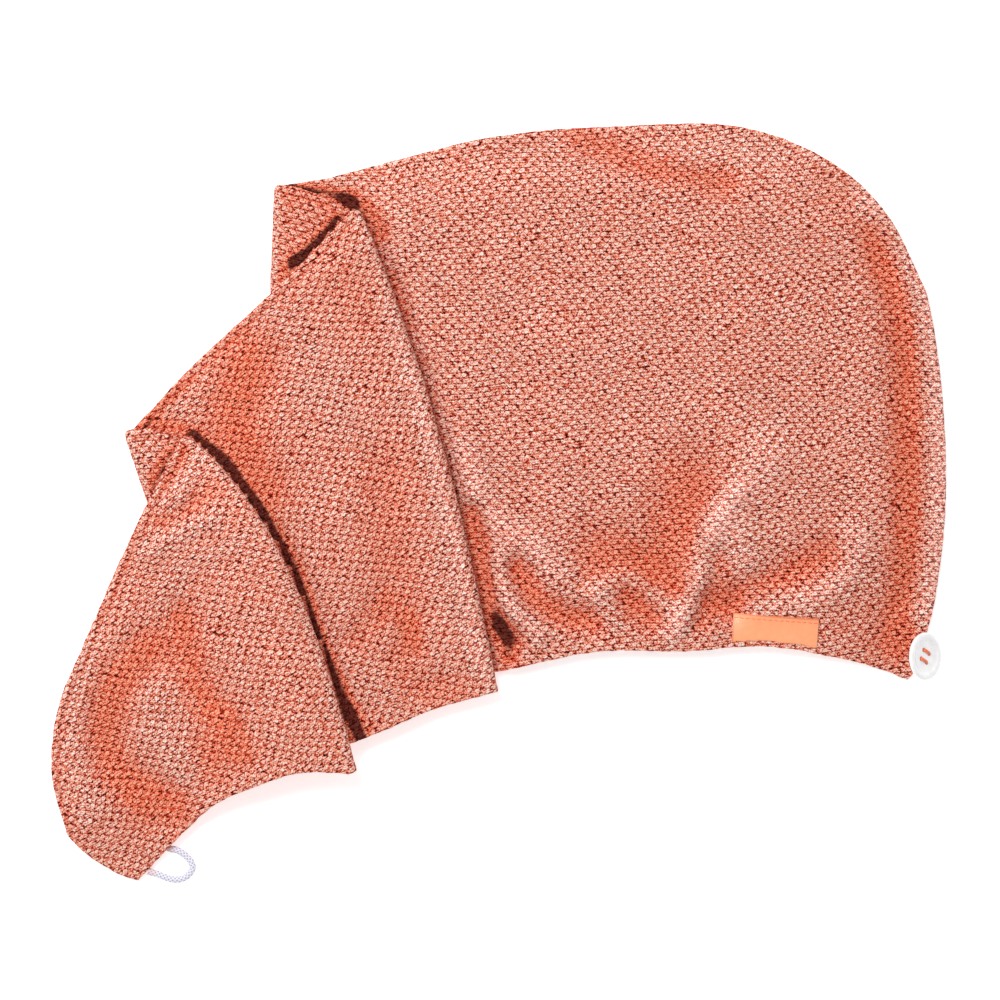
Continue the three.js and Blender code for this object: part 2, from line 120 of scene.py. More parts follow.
# Lines from hem to seam. X and bow are shares of laidLength, Y of laidDepth, from the outline's corner.
# A bow to the right is positive, and lean above 1 moves its fullest point towards the seam.
Line = namedtuple("Line", "hemX hemY seamX seamY bow lean")
lines = {
    "hoodEnd": Line(0.955, 0.267, 0.974, 0.787, 0.0345, 0.85),
    "shoulder": Line(0.929, 0.28, 0.933, 0.883, 0.0156, 1),
    "crown": Line(0.878, 0.296, 0.871, 0.952, 0.0045, 1),
    "brow": Line(0.8, 0.311, 0.771, 0.998, 0, 1),
    "gather": Line(0.706, 0.305, 0.637, 0.999, 0, 1),
    "nape": Line(0.606, 0.304, 0.499, 0.986, 0.0067, 1),
    "besidePleat": Line(0.505, 0.279, 0.363, 0.947, 0.0156, 1.2),
    "underPleat": Line(0.39, 0.254, 0.303, 0.929, 0, 1),
    "firstLeftFold": Line(0.279, 0.241, 0.251, 0.922, -0.0167, 1),
    "firstReturn": Line(0.381, 0.24, 0.299, 0.908, 0, 1),
    "firstRightFold": Line(0.5, 0.252, 0.343, 0.889, 0.0173, 1.25),
    "topPleatA": Line(0.426, 0.228, 0.292, 0.83, 0.0089, 1),
    "topPleatB": Line(0.352, 0.191, 0.223, 0.751, 0.0033, 1),
    "topPleatC": Line(0.281, 0.162, 0.154, 0.676, 0, 1),
    "secondLeftFold": Line(0.208, 0.142, 0.082, 0.594, 0, 1),
    "secondReturn": Line(0.279, 0.15, 0.117, 0.597, 0.0156, 1.3),
    "secondRightFold": Line(0.343, 0.149, 0.152, 0.59, 0.035, 1.3),
    "tailA": Line(0.283, 0.147, 0.107, 0.495, 0.0223, 1.3),
    "tailB": Line(0.228, 0.127, 0.07, 0.402, 0.0111, 1.1),
    "tailC": Line(0.183, 0.102, 0.038, 0.316, 0.0045, 1),
    "tailD": Line(0.15, 0.067, 0.009, 0.232, 0, 1),
    "tailE": Line(0.123, 0.034, 0.001, 0.142, -0.0011, 1),
    "tip": Line(0.098, 0.002, 0.018, 0.063, -0.0078, 1),
}

# Layers of the pleated strip, from the hood at the bottom to the tail on top. weaveTurn is in degrees.
Layer = namedtuple("Layer", "name weaveTurn mirrored lines")
layers = [
    Layer("hood", 0, False, "hoodEnd shoulder crown brow gather nape besidePleat underPleat firstLeftFold"),
    Layer("first return", -6, True, "firstLeftFold firstReturn firstRightFold"),
    Layer("top pleat", 26, False, "firstRightFold topPleatA topPleatB topPleatC secondLeftFold"),
    Layer("second return", 14, True, "secondLeftFold secondReturn secondRightFold"),
    Layer("tail", 26, False, "secondRightFold tailA tailB tailC tailD tailE tip"),
]

# Dents and ridges; they shape the front panel and paint shade into hollows and highlight onto ridges. Rise
# and width are in metres, X is a share of laidLength and Y of laidDepth.
# Those of the returns only paint shade on the cloth beside the folds.
Dent = namedtuple("Dent", "name on rise width path")
dents = [
    Dent(
        "right valley", "hood", -0.005, 0.009,
        [(0.924, 0.858), (0.95, 0.729), (0.954, 0.597), (0.955, 0.452), (0.946, 0.32)],
    ),
    Dent("upper valley", "hood", -0.0012, 0.01, [(0.868, 0.905), (0.903, 0.868), (0.924, 0.82)]),
    Dent(
        "rim roll", "hood", 0.0046, 0.007,
        [(0.915, 0.898), (0.973, 0.769), (0.991, 0.597), (0.989, 0.452), (0.974, 0.353)],
    ),
    Dent(
        "crown hollow", "hood", -0.0034, 0.008,
        [(0.588, 0.982), (0.624, 0.964), (0.668, 0.941), (0.713, 0.93), (0.748, 0.924)],
    ),
    Dent(
        "crown ridge", "hood", 0.0008, 0.006,
        [(0.564, 0.972), (0.601, 0.951), (0.657, 0.922), (0.713, 0.908)],
    ),
    Dent("crown rise", "hood", 0.0012, 0.008, [(0.713, 0.966), (0.757, 0.964), (0.802, 0.953)]),
    Dent(
        "main ridge", "hood", 0.0052, 0.0052,
        [
            (0.765, 0.518), (0.748, 0.491), (0.736, 0.465), (0.731, 0.441),
            (0.726, 0.41), (0.713, 0.367), (0.691, 0.332),
        ],
    ),
    Dent("ridge top", "hood", 0.0022, 0.011, [(0.796, 0.568), (0.771, 0.521), (0.757, 0.476)]),
    Dent("ridge branch", "hood", 0.002, 0.007, [(0.744, 0.478), (0.766, 0.445), (0.777, 0.423)]),
    Dent(
        "left hollow", "hood", -0.0038, 0.018,
        [(0.713, 0.518), (0.693, 0.452), (0.668, 0.415), (0.624, 0.426)],
    ),
    Dent("left hollow core", "hood", -0.002, 0.007, [(0.657, 0.426), (0.682, 0.399), (0.704, 0.377)]),
    Dent("right hollow", "hood", -0.0028, 0.006, [(0.738, 0.431), (0.741, 0.375), (0.76, 0.373)]),
    Dent("ridge foot", "hood", -0.0034, 0.005, [(0.726, 0.373), (0.723, 0.344)]),
    Dent(
        "far valley", "hood", -0.0038, 0.009,
        [(0.755, 0.367), (0.793, 0.389), (0.83, 0.41), (0.866, 0.435)],
    ),
    Dent(
        "far ridge", "hood", 0.003, 0.007,
        [(0.785, 0.367), (0.835, 0.373), (0.871, 0.391), (0.891, 0.423), (0.895, 0.459)],
    ),
    Dent("corner hollow", "hood", -0.0012, 0.013, [(0.891, 0.349), (0.918, 0.333), (0.939, 0.307)]),
    Dent(
        "outer sweep", "hood", 0.003, 0.007,
        [(0.46, 0.571), (0.477, 0.511), (0.507, 0.468), (0.546, 0.435), (0.571, 0.41)],
    ),
    Dent(
        "inner sweep", "hood", 0.0034, 0.005,
        [(0.498, 0.426), (0.501, 0.389), (0.518, 0.354), (0.543, 0.328)],
    ),
    Dent(
        "arch", "hood", 0.0032, 0.0046,
        [(0.604, 0.383), (0.626, 0.399), (0.648, 0.402), (0.668, 0.383), (0.693, 0.364)],
    ),
    Dent("arch foot", "hood", 0.002, 0.006, [(0.617, 0.373), (0.624, 0.349)]),
    Dent(
        "pocket", "hood", -0.0046, 0.006,
        [(0.521, 0.415), (0.539, 0.379), (0.568, 0.356), (0.604, 0.344)],
    ),
    Dent("under arch", "hood", -0.0032, 0.0065, [(0.648, 0.37), (0.663, 0.354), (0.674, 0.344)]),
    Dent(
        "crevice", "hood", -0.0064, 0.0044,
        [(0.472, 0.491), (0.484, 0.423), (0.495, 0.36), (0.508, 0.32), (0.512, 0.299)],
    ),
    Dent("crevice foot", "hood", -0.0046, 0.006, [(0.499, 0.338), (0.517, 0.325)]),
    Dent("upper crevice", "hood", -0.0024, 0.003, [(0.383, 0.803), (0.393, 0.769), (0.402, 0.732)]),
    Dent("corner crevice", "hood", -0.006, 0.0054, [(0.334, 0.901), (0.353, 0.885), (0.366, 0.858)]),
    Dent(
        "fold crevice", "hood", -0.008, 0.003,
        [(0.264, 0.918), (0.292, 0.914), (0.318, 0.908), (0.337, 0.898)],
    ),
    Dent(
        "seam slot", "first return", -0.0084, 0.0032,
        [(0.32, 0.874), (0.305, 0.853), (0.289, 0.835), (0.273, 0.819)],
    ),
    Dent("seam slot end", "first return", -0.004, 0.004, [(0.273, 0.819), (0.26, 0.799)]),
    Dent(
        "tail crevice", "top pleat", -0.0084, 0.0033,
        [
            (0.163, 0.589), (0.194, 0.557), (0.214, 0.522), (0.243, 0.477),
            (0.272, 0.418), (0.301, 0.32), (0.327, 0.249), (0.347, 0.189),
        ],
    ),
    Dent("crevice foot", "top pleat", -0.003, 0.006, [(0.337, 0.221), (0.352, 0.191)]),
    Dent(
        "beside tail", "top pleat", -0.0042, 0.014,
        [(0.234, 0.518), (0.212, 0.584), (0.208, 0.623), (0.22, 0.663), (0.228, 0.7)],
    ),
    Dent("middle band", "top pleat", -0.002, 0.012, [(0.377, 0.544), (0.376, 0.452), (0.388, 0.367)]),
    Dent("hem dimple", "top pleat", -0.004, 0.0055, [(0.401, 0.344), (0.406, 0.317)]),
    Dent("hem crease", "top pleat", -0.002, 0.006, [(0.341, 0.317), (0.357, 0.341), (0.372, 0.373)]),
    Dent(
        "low crease", "top pleat", -0.002, 0.008,
        [(0.39, 0.299), (0.403, 0.265), (0.435, 0.254), (0.468, 0.254)],
    ),
    Dent(
        "fold roll", "top pleat", 0.0032, 0.007,
        [(0.384, 0.769), (0.435, 0.561), (0.466, 0.386), (0.488, 0.265)],
    ),
    Dent("high dimple", "top pleat", -0.0014, 0.011, [(0.329, 0.782), (0.346, 0.749)]),
    Dent("pleat crest", "top pleat", 0.0012, 0.012, [(0.236, 0.729), (0.268, 0.709), (0.312, 0.643)]),
    Dent("seam line", "top pleat", -0.0034, 0.0026, [(0.156, 0.663), (0.134, 0.641), (0.111, 0.613)]),
    Dent(
        "corner line", "top pleat", -0.0046, 0.0032,
        [(0.091, 0.6), (0.112, 0.601), (0.13, 0.604), (0.147, 0.601), (0.159, 0.593)],
    ),
    Dent("tail slot", "second return", -0.007, 0.0044, [(0.137, 0.564), (0.127, 0.547), (0.115, 0.524)]),
    Dent("tail lip", "tail", -0.0044, 0.0026, [(0.154, 0.573), (0.15, 0.552), (0.132, 0.528)]),
    Dent("first wrinkle", "tail", 0.0022, 0.005, [(0.11, 0.441), (0.143, 0.46), (0.185, 0.486)]),
    Dent("wrinkle valley", "tail", -0.0024, 0.005, [(0.127, 0.476), (0.159, 0.494), (0.182, 0.518)]),
    Dent("second wrinkle", "tail", 0.001, 0.005, [(0.129, 0.386), (0.165, 0.428), (0.212, 0.452)]),
    Dent(
        "tail valley", "tail", -0.0042, 0.01,
        [(0.112, 0.309), (0.074, 0.254), (0.06, 0.201), (0.073, 0.151), (0.11, 0.117), (0.136, 0.101)],
    ),
    Dent("valley fork", "tail", -0.0014, 0.006, [(0.094, 0.106), (0.102, 0.075)]),
    Dent(
        "tail hollow", "tail", -0.0036, 0.008,
        [(0.15, 0.349), (0.159, 0.294), (0.174, 0.243), (0.199, 0.214), (0.214, 0.172)],
    ),
    Dent("hollow core", "tail", -0.0018, 0.005, [(0.185, 0.23), (0.203, 0.206), (0.213, 0.175)]),
    Dent("lower hollow", "tail", -0.0026, 0.007, [(0.176, 0.185), (0.183, 0.143)]),
    Dent("tail rise", "tail", 0.0024, 0.006, [(0.136, 0.505), (0.156, 0.544), (0.167, 0.564)]),
    Dent("tail roll", "tail", 0.0016, 0.009, [(0.038, 0.32), (0.027, 0.214), (0.043, 0.102)]),
    Dent("tail crest", "tail", 0.0014, 0.009, [(0.112, 0.254), (0.123, 0.195), (0.15, 0.151)]),
]


class Wire:
    # one socket of a material's nodes, so that its maths reads as sums

    def __init__(self, tree, socket=None):
        self.tree = tree
        self.socket = socket

    def node(self, kind, settings=None, inputs=None, output=0):
        made = self.tree.nodes.new(kind)
        for name, value in (settings or {}).items():
            if name == "stops":
                setStops(made.color_ramp, value)
            else:
                setattr(made, name, value)
        for name, value in (inputs or {}).items():
            if isinstance(value, Wire):
                self.tree.links.new(value.socket, made.inputs[name])
            else:
                made.inputs[name].default_value = value
        return Wire(self.tree, made.outputs[output] if made.outputs else None)

    def maths(self, operation, *values, clamp=False):
        settings = {"operation": operation, "use_clamp": clamp}
        return self.node("ShaderNodeMath", settings, dict(enumerate(values)))

    def __add__(self, other):
        return self.maths("ADD", self, other)

    def __radd__(self, other):
        return self.maths("ADD", other, self)

    def __sub__(self, other):
        return self.maths("SUBTRACT", self, other)

    def __rsub__(self, other):
        return self.maths("SUBTRACT", other, self)

    def __mul__(self, other):
        return self.maths("MULTIPLY", self, other)

    def __rmul__(self, other):
        return self.maths("MULTIPLY", other, self)

    def __truediv__(self, other):
        return self.maths("DIVIDE", self, other)

    def __pow__(self, other):
        return self.maths("POWER", self, other)

    def held(self):
        return self.maths("ADD", self, 0, clamp=True)

    def wave(self):
        return self.maths("COSINE", self * (2 * math.pi))

    def ramp(self, stops):
        return self.node("ShaderNodeValToRGB", {"stops": stops}, {"Fac": self})

    def between(self, low, high):
        inputs = {"Value": self, "From Min": low, "From Max": high}
        return self.node("ShaderNodeMapRange", {"interpolation_type": "SMOOTHSTEP"}, inputs)

    def dot(self, vector):
        inputs = {0: self, 1: vector}
        return self.node("ShaderNodeVectorMath", {"operation": "DOT_PRODUCT"}, inputs, "Value")

    def moved(self, vector):
        return self.node("ShaderNodeVectorMath", {"operation": "ADD"}, {0: self, 1: vector})

    def scaled(self, factor):
        return self.node("ShaderNodeVectorMath", {"operation": "SCALE"}, {0: self, "Scale": factor})

    def times(self, vector):
        return self.node("ShaderNodeVectorMath", {"operation": "MULTIPLY"}, {0: self, 1: vector})

    def mottled(self, scale, detail=2.0, output=0):
        inputs = {"Vector": self, "Scale": scale, "Detail": detail}
        return self.node("ShaderNodeTexNoise", {}, inputs, output)

    def wandering(self, scale, size):
        # a vector that wanders about zero from place to place
        return self.mottled(scale, 1.0, "Color").moved((-0.5, -0.5, -0.5)).scaled(size)

    def mixed(self, other, factor):
        # the Mix node's colour sockets are numbered 6, 7 and 2
        settings = {"data_type": "RGBA", "clamp_factor": True}
        return self.node("ShaderNodeMix", settings, {0: factor, 6: self, 7: other}, 2)


def setStops(ramp, stops):
    while len(ramp.elements) < len(stops):
        ramp.elements.new(0.5)
    for element, (position, colour) in zip(ramp.elements, stops):
        element.position = position
        element.color = colour


def screenColour(red, green, blue):
    # linear colour of a screen colour given from 0 to 255
    shares = (value / 255 for value in (red, green, blue))
    return (*(s / 12.92 if s <= 0.04045 else ((s + 0.055) / 1.055) ** 2.4 for s in shares), 1)


def colourStops(stops):
    return [(position, screenColour(*colour)) for position, colour in stops]


def newMaterial(name):
    material = bpy.data.materials.new(name)
    material.use_nodes = True
    tree = material.node_tree
    tree.nodes.clear()
    return material, Wire(tree)


def weaveMap(start):
    # a piece's own map, and its two coordinates
    uv = start.node("ShaderNodeUVMap", {"uv_map": "weave"})
    first, second = (uv.node("ShaderNodeSeparateXYZ", {}, {"Vector": uv}, name) for name in ("X", "Y"))
    return uv, first, second


def finishMaterial(start, settings, base, roughness=None, normal=None):
    inputs = {**settings, "Base Color": base}
    if roughness is not None:
        inputs["Roughness"] = roughness
    if normal is not None:
        inputs["Normal"] = normal
    shader = start.node("ShaderNodeBsdfPrincipled", {}, inputs)
    start.node("ShaderNodeOutputMaterial", {}, {"Surface": shader})


def bumped(start, height, depth, strength=1.0):
    return start.node("ShaderNodeBump", {}, {"Height": height, "Distance": depth, "Strength": strength})


def addObject(name, mesh, material, replaced=()):
    piece = bpy.data.objects.new(name, mesh)
    bpy.context.scene.collection.objects.link(piece)
    mesh.materials.append(material)
    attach(piece, "root")
    if replaced:
        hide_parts(*replaced)
    return piece


def meshFrom(bm, name, rounded=True):
    mesh = bpy.data.meshes.new(name)
    bm.to_mesh(mesh)
    bm.free()
    if rounded:
        mesh.shade_smooth()
    return mesh


# Camera
def makeCamera():
    data = bpy.data.cameras.new("camera")
    data.sensor_width = view["sensor"]
    data.lens = view["sensor"] * view["distance"] / view["across"]
    data.clip_end = 10
    camera = bpy.data.objects.new("camera", data)
    camera.location = (*view["aim"], view["clothHeight"] + view["distance"])
    bpy.context.scene.collection.objects.link(camera)
    bpy.context.scene.camera = camera


makeCamera()
print("camera made")


# The pleated strip: its middle surface between the two panels
def smooth(value):
    share = np.clip(value, 0, 1)
    return share * share * (3 - 2 * share)


def linePoint(line, share):
    # points of a line at shares from hem to seam
    share = np.asarray(share, dtype=float)
    hem = np.array([line.hemX * towel["laidLength"], line.hemY * towel["laidDepth"]])
    seam = np.array([line.seamX * towel["laidLength"], line.seamY * towel["laidDepth"]])
    chord = seam - hem
    side = np.array([chord[1], -chord[0]]) / np.hypot(*chord)
    lean = np.clip(np.sin(np.pi * share**line.lean), 0, 1)
    bow = line.bow * towel["laidLength"] * lean ** towel["bowFullness"]
    return hem + chord * share[..., None] + side * bow[..., None]


def lineSide(line, share, reach=0.12):
    # direction to the right of a line, taken over a stretch wide enough to stay steady at its ends
    below = linePoint(line, np.maximum(share - reach, 0))
    above = linePoint(line, np.minimum(share + reach, 1))
    along = above - below
    along /= np.linalg.norm(along, axis=-1, keepdims=True)
    return np.stack([along[..., 1], -along[..., 0]], -1)


def rightOf(line, x, y):
    # how far a point lies to the right of a line
    share = np.clip((y / towel["laidDepth"] - line.hemY) / (line.seamY - line.hemY), 0, 1)
    onLine = linePoint(line, share)
    chordX = (line.seamX - line.hemX) * towel["laidLength"]
    chordY = (line.seamY - line.hemY) * towel["laidDepth"]
    lineX = onLine[..., 0] + (y - onLine[..., 1]) * chordX / chordY
    return (x - lineX) * chordY / math.hypot(chordX, chordY)


def carriedBy(line, x, y):
    # 1 where a layer lies over the fold at this line, and 0 where it has come down beside it
    return smooth((rightOf(line, x, y) + fallWidth) / fallWidth)


def raisedBy(name, rise, x, y):
    # how far a fold to the right lifts the two layers that it joins
    line = lines[name]
    toTurn = rightOf(line, x, y) + 2 * foldRadius + outerPly
    fromSeam = line.seamY * towel["laidDepth"] - y
    return rise * smooth(1 + toTurn / towel["foldReach"]) * smooth(fromSeam / towel["foldFade"])


def layerHeight(layer, x, y):
    if layer == 0:
        return np.zeros(np.shape(x))
    raised = raisedBy("firstRightFold", towel["pleatRise"], x, y)
    if layer == 1:
        return raised + layerPitch
    height = raised + 2 * layerPitch * carriedBy(lines["firstLeftFold"], x, y)
    if layer == 2:
        return height
    pastFold = rightOf(lines["secondLeftFold"], x, y) - 2 * foldRadius - outerPly
    nearFold = smooth(pastFold / (towel["foldReach"] / 2))
    height += raisedBy("secondRightFold", towel["tailRise"], x, y) * nearFold
    if layer == 3:
        return height + layerPitch
    return height + 2 * layerPitch * carriedBy(lines["secondLeftFold"], x, y)


def foldSide(layer):
    # a fold bulges to the left after the hood and the top pleat, and to the right after the returns
    return 1 if layer % 2 else -1


def splineThrough(points, samples=16):
    # centripetal Catmull-Rom curves, one a row, through points given as rows, corners, XY
    first = 2 * points[:, :1] - points[:, 1:2]
    last = 2 * points[:, -1:] - points[:, -2:-1]
    held = np.concatenate([first, points, last], axis=1)
    pieces = []
    t = np.linspace(0, 1, samples, endpoint=False)[None, :, None]
    for index in range(points.shape[1] - 1):
        p = [held[:, index + k][:, None, :] for k in range(4)]
        gaps = [np.sqrt(np.linalg.norm(p[k + 1] - p[k], axis=-1, keepdims=True)) for k in range(3)]
        leave = (p[1] - p[0]) / gaps[0] - (p[2] - p[0]) / (gaps[0] + gaps[1]) + (p[2] - p[1]) / gaps[1]
        reach = (p[2] - p[1]) / gaps[1] - (p[3] - p[1]) / (gaps[1] + gaps[2]) + (p[3] - p[2]) / gaps[2]
        leave, reach = leave * gaps[1], reach * gaps[1]
        bend = -3 * p[1] + 3 * p[2] - 2 * leave - reach
        turn = 2 * p[1] - 2 * p[2] + leave + reach
        pieces.append(p[1] + leave * t + bend * t**2 + turn * t**3)
    pieces.append(points[:, -1:])
    return np.concatenate(pieces, axis=1)


def layerCurves(layer, shares):
    # curve of one layer from line to line for each row; at a fold it stops where the turn starts
    names = layers[layer].lines.split()
    inset = foldRadius + outerPly
    corners = np.stack([linePoint(lines[name], shares) for name in names], axis=1)
    if layer > 0:
        corners[:, 0] -= foldSide(layer - 1) * inset * lineSide(lines[names[0]], shares)
    if layer < len(layers) - 1:
        corners[:, -1] -= foldSide(layer) * inset * lineSide(lines[names[-1]], shares)
    return splineThrough(corners)


def reachedAlong(curves):
    # how far along its curve each point lies
    gaps = np.linalg.norm(np.diff(curves, axis=1), axis=-1)
    return np.concatenate([np.zeros((len(curves), 1)), np.cumsum(gaps, axis=1)], axis=1)


def alongCurves(curves, spots):
    # points at shares of each curve's length
    reached = reachedAlong(curves)
    made = np.empty((len(curves), len(spots), curves.shape[2]))
    for row in range(len(curves)):
        for axis in range(curves.shape[2]):
            made[row, :, axis] = np.interp(spots * reached[row, -1], reached[row], curves[row, :, axis])
    return made


def crossShares(spacing):
    # shares from hem to seam, close together at both so that the edges can be rounded
    edge = np.array(towel["edgeSteps"]) / towel["stripWidth"]
    middle = np.linspace(edge[-1], 1 - edge[-1], round(towel["stripWidth"] / spacing))
    return np.concatenate([edge[:-1], middle, 1 - edge[-2::-1]])


def endSteps(steps, atStart, atEnd):
    # shares along a layer; the strip's two sewn ends get the same close steps as its long edges
    spots = list(np.linspace(0, 1, steps + 1))
    if atStart:
        spots[1:1] = [share / steps for share in towel["endShares"]]
    if atEnd:
        spots[-1:-1] = [1 - share / steps for share in reversed(towel["endShares"])]
    return np.array(spots)


class Strip:
    # the middle surface as a grid: columns along the strip, rows from hem to seam

    def __init__(self, spacing):
        self.shares = crossShares(spacing)
        flat, layerOf, turned = [], [], []
        for layer in range(len(layers)):
            curves = layerCurves(layer, self.shares)
            length = reachedAlong(curves)[:, -1].mean()
            steps = max(round(length / spacing), 4)
            spots = endSteps(steps, layer == 0, layer == len(layers) - 1)
            even = alongCurves(curves, spots)
            for column in range(len(spots)):
                xy = even[:, column]
                flat.append(np.column_stack([xy, outerPly + layerHeight(layer, xy[:, 0], xy[:, 1])]))
                layerOf.append(layer)
                turned.append(None)
            if layer == len(layers) - 1:
                continue
            name = layers[layer].lines.split()[-1]
            out = foldSide(layer) * lineSide(lines[name], self.shares)
            for step in range(1, towel["foldSteps"]):
                turn = math.pi * (step / towel["foldSteps"] - 0.5)
                xy = even[:, -1] + out * foldRadius * math.cos(turn)
                height = layerHeight(layer, xy[:, 0], xy[:, 1]) + foldRadius * (1 + math.sin(turn))
                flat.append(np.column_stack([xy, outerPly + height]))
                layerOf.append(layer)
                turned.append((turn, out))
        self.points = np.array(flat)  # columns, rows, XYZ
        self.layerOf = np.array(layerOf)
        self.turned = turned
        self.isFold = np.array([turn is not None for turn in turned])
        self.measure()

    def measure(self):
        # distances to the hem, the seam and the strip's two ends, and the unit normals of the front's side
        across = np.linalg.norm(np.diff(self.points, axis=1), axis=-1)
        self.toHem = np.concatenate([np.zeros((len(across), 1)), np.cumsum(across, axis=1)], axis=1)
        self.toSeam = self.toHem[:, -1:] - self.toHem
        along = np.linalg.norm(np.diff(self.points, axis=0), axis=-1)
        self.fromStart = np.concatenate([np.zeros((1, along.shape[1])), np.cumsum(along, axis=0)], axis=0)
        self.toEnd = self.fromStart[-1:] - self.fromStart
        below = np.concatenate([self.points[:, :1], self.points[:, :-1]], axis=1)
        above = np.concatenate([self.points[:, 1:], self.points[:, -1:]], axis=1)
        before = np.concatenate([self.points[:1], self.points[:-1]], axis=0)
        after = np.concatenate([self.points[1:], self.points[-1:]], axis=0)
        normal = np.cross(above - below, after - before)
        self.normal = normal / np.linalg.norm(normal, axis=-1, keepdims=True)

    def weaveMap(self, layer):
        # flat place of every point on the cloth as this layer shows it, in millimetres
        plan = self.points[:, :, :2].copy()
        own = np.flatnonzero((self.layerOf == layer) & ~self.isFold)
        radius = foldRadius + outerPly
        for column in np.flatnonzero(self.isFold):
            turn, out = self.turned[column]
            if self.layerOf[column] == layer:
                plan[column] = plan[own[-1]] + out * radius * (turn + math.pi / 2)
            elif self.layerOf[column] == layer - 1:
                plan[column] = plan[own[0]] + out * radius * (math.pi / 2 - turn)
        angle = math.radians(layers[layer].weaveTurn)
        turnedX = plan[..., 0] * math.cos(angle) + plan[..., 1] * math.sin(angle)
        turnedY = plan[..., 1] * math.cos(angle) - plan[..., 0] * math.sin(angle)
        if layers[layer].mirrored:
            turnedX = -turnedX
        return 1000 * np.stack([turnedX, turnedY], -1)


def dentRise(strip, layer, columns):
    # rise or fall of the front panel from the dents and ridges of one layer
    xy = strip.points[columns][:, :, :2]
    rise = np.zeros(xy.shape[:2])
    for dent in dents:
        if dent.on != layers[layer].name:
            continue
        scale = np.array([towel["laidLength"], towel["laidDepth"]])
        path = splineThrough(np.array([dent.path]) * scale, 8)[0]
        away = np.full(xy.shape[:2], np.inf)
        for start, stop in zip(path[:-1], path[1:]):
            step = stop - start
            share = np.clip(((xy - start) @ step) / (step @ step), 0, 1)
            away = np.minimum(away, np.linalg.norm(xy - start - share[..., None] * step, axis=-1))
        share = np.clip(away / (2 * dent.width), 0, 1)
        rise += dent.rise * (1 - share * share) ** 3
    return rise


def frontLift(strip):
    # how far the front panel stands off its resting place
    lift = np.zeros(strip.points.shape[:2])
    for layer in (0, 2, 4):
        columns = np.flatnonzero((strip.layerOf == layer) & ~strip.isFold)
        x, y = strip.points[columns][:, :, 0], strip.points[columns][:, :, 1]
        rise = dentRise(strip, layer, columns)
        atSeam = smooth(strip.toSeam[columns] / towel["seamShoulder"])
        toHem = strip.toHem[columns]
        fromStart = strip.fromStart[columns] - strip.fromStart[columns[0]]
        toNext = strip.fromStart[columns[-1]] - strip.fromStart[columns]
        if layer > 0:
            near = smooth(np.minimum(fromStart, toNext) / (towel["seamShoulder"] / 2))
            atEdge = smooth(2 * strip.toSeam[columns] / towel["seamShoulder"])
            left = towel["pleatHemShare"]
            puff = towel["pleatPuff"] * (left + (1 - left) * smooth(toHem / towel["seamShoulder"]))
            if layer == 2:
                puff = puff * smooth(rightOf(lines["secondRightFold"], x, y) / towel["tailClearance"])
            deepest = puff + towel["dentReserve"]
            lift[columns] = (puff + np.maximum(rise, -deepest)) * near * atEdge
            continue
        toPleat = rightOf(lines["firstRightFold"], x, y)
        corner, seam = towel["cornerShoulder"], towel["seamShoulder"]
        shoulder = corner + (seam - corner) * smooth(toHem / corner)
        opened = atSeam * smooth(fromStart / shoulder) * smooth(toPleat / towel["pleatShoulder"])
        puff = towel["hoodPuff"] * (towel["mouthShare"] + (1 - towel["mouthShare"]) * smooth(toHem / seam))
        margin = towel["dentMargin"]
        edge = smooth(strip.toSeam[columns] / margin) * smooth(fromStart / margin)
        edge = edge * smooth(toPleat / towel["dentPleatMargin"])
        lift[columns] = np.maximum(puff * opened + rise * np.maximum(opened, 0.5 * edge), 0)
    return lift


def unevenness(strip, side):
    # the cloth's slow waves and its fine lumps, along the normal
    height = np.zeros(strip.points.shape[:2])
    shift = Vector((0, 0, 5.0 * side))
    for column, points in enumerate(strip.points):
        layer = float(strip.layerOf[column])
        for row, point in enumerate(points):
            spot = Vector((point[0], point[1], 0.02 * layer))
            slow = noise.noise(spot * towel["rippleScale"] + shift)
            fine = noise.noise(spot * towel["pebbleScale"] + shift)
            height[column, row] = towel["ripple"] * slow + towel["pebble"] * fine
    return height


def seamLip(strip, side):
    # the crevice inside the rolled lip of the seam, on the faces that show
    shown = (strip.layerOf % 2 == 0) == (side > 0)
    shown &= strip.layerOf > 0
    away = (strip.toSeam - towel["lipInset"]) / towel["lipWidth"]
    return -towel["lipDepth"] * np.exp(-away * away) * shown[:, None]


def rimBumps(strip, side):
    # small bumps that push the hem, the seam and the strip's two ends in and out
    moved = np.zeros(strip.points.shape)
    rims = [
        (strip.toHem, strip.points[:, :1], strip.points[:, :1] - strip.points[:, 4:5]),
        (strip.toSeam, strip.points[:, -1:], strip.points[:, -1:] - strip.points[:, -5:-4]),
        (strip.fromStart, strip.points[:1], strip.points[:1] - strip.points[4:5]),
        (strip.toEnd, strip.points[-1:], strip.points[-1:] - strip.points[-5:-4]),
    ]
    for away, rim, outward in rims:
        outward = outward / np.linalg.norm(outward, axis=-1, keepdims=True)
        spots = rim.reshape(-1, 3) * towel["rimScale"] + np.array([0, 0, 9 * side])
        bumps = np.array([noise.noise(Vector(spot)) for spot in spots]).reshape(rim.shape[:2])
        near = 1 - smooth(away / towel["rimReach"])
        moved += towel["rimBumps"] * (near * bumps)[..., None] * outward
    return moved


def roundOff(distance, radius):
    share = 1 - np.clip(distance / radius, 0, 1)
    return np.sqrt(1 - share * share)


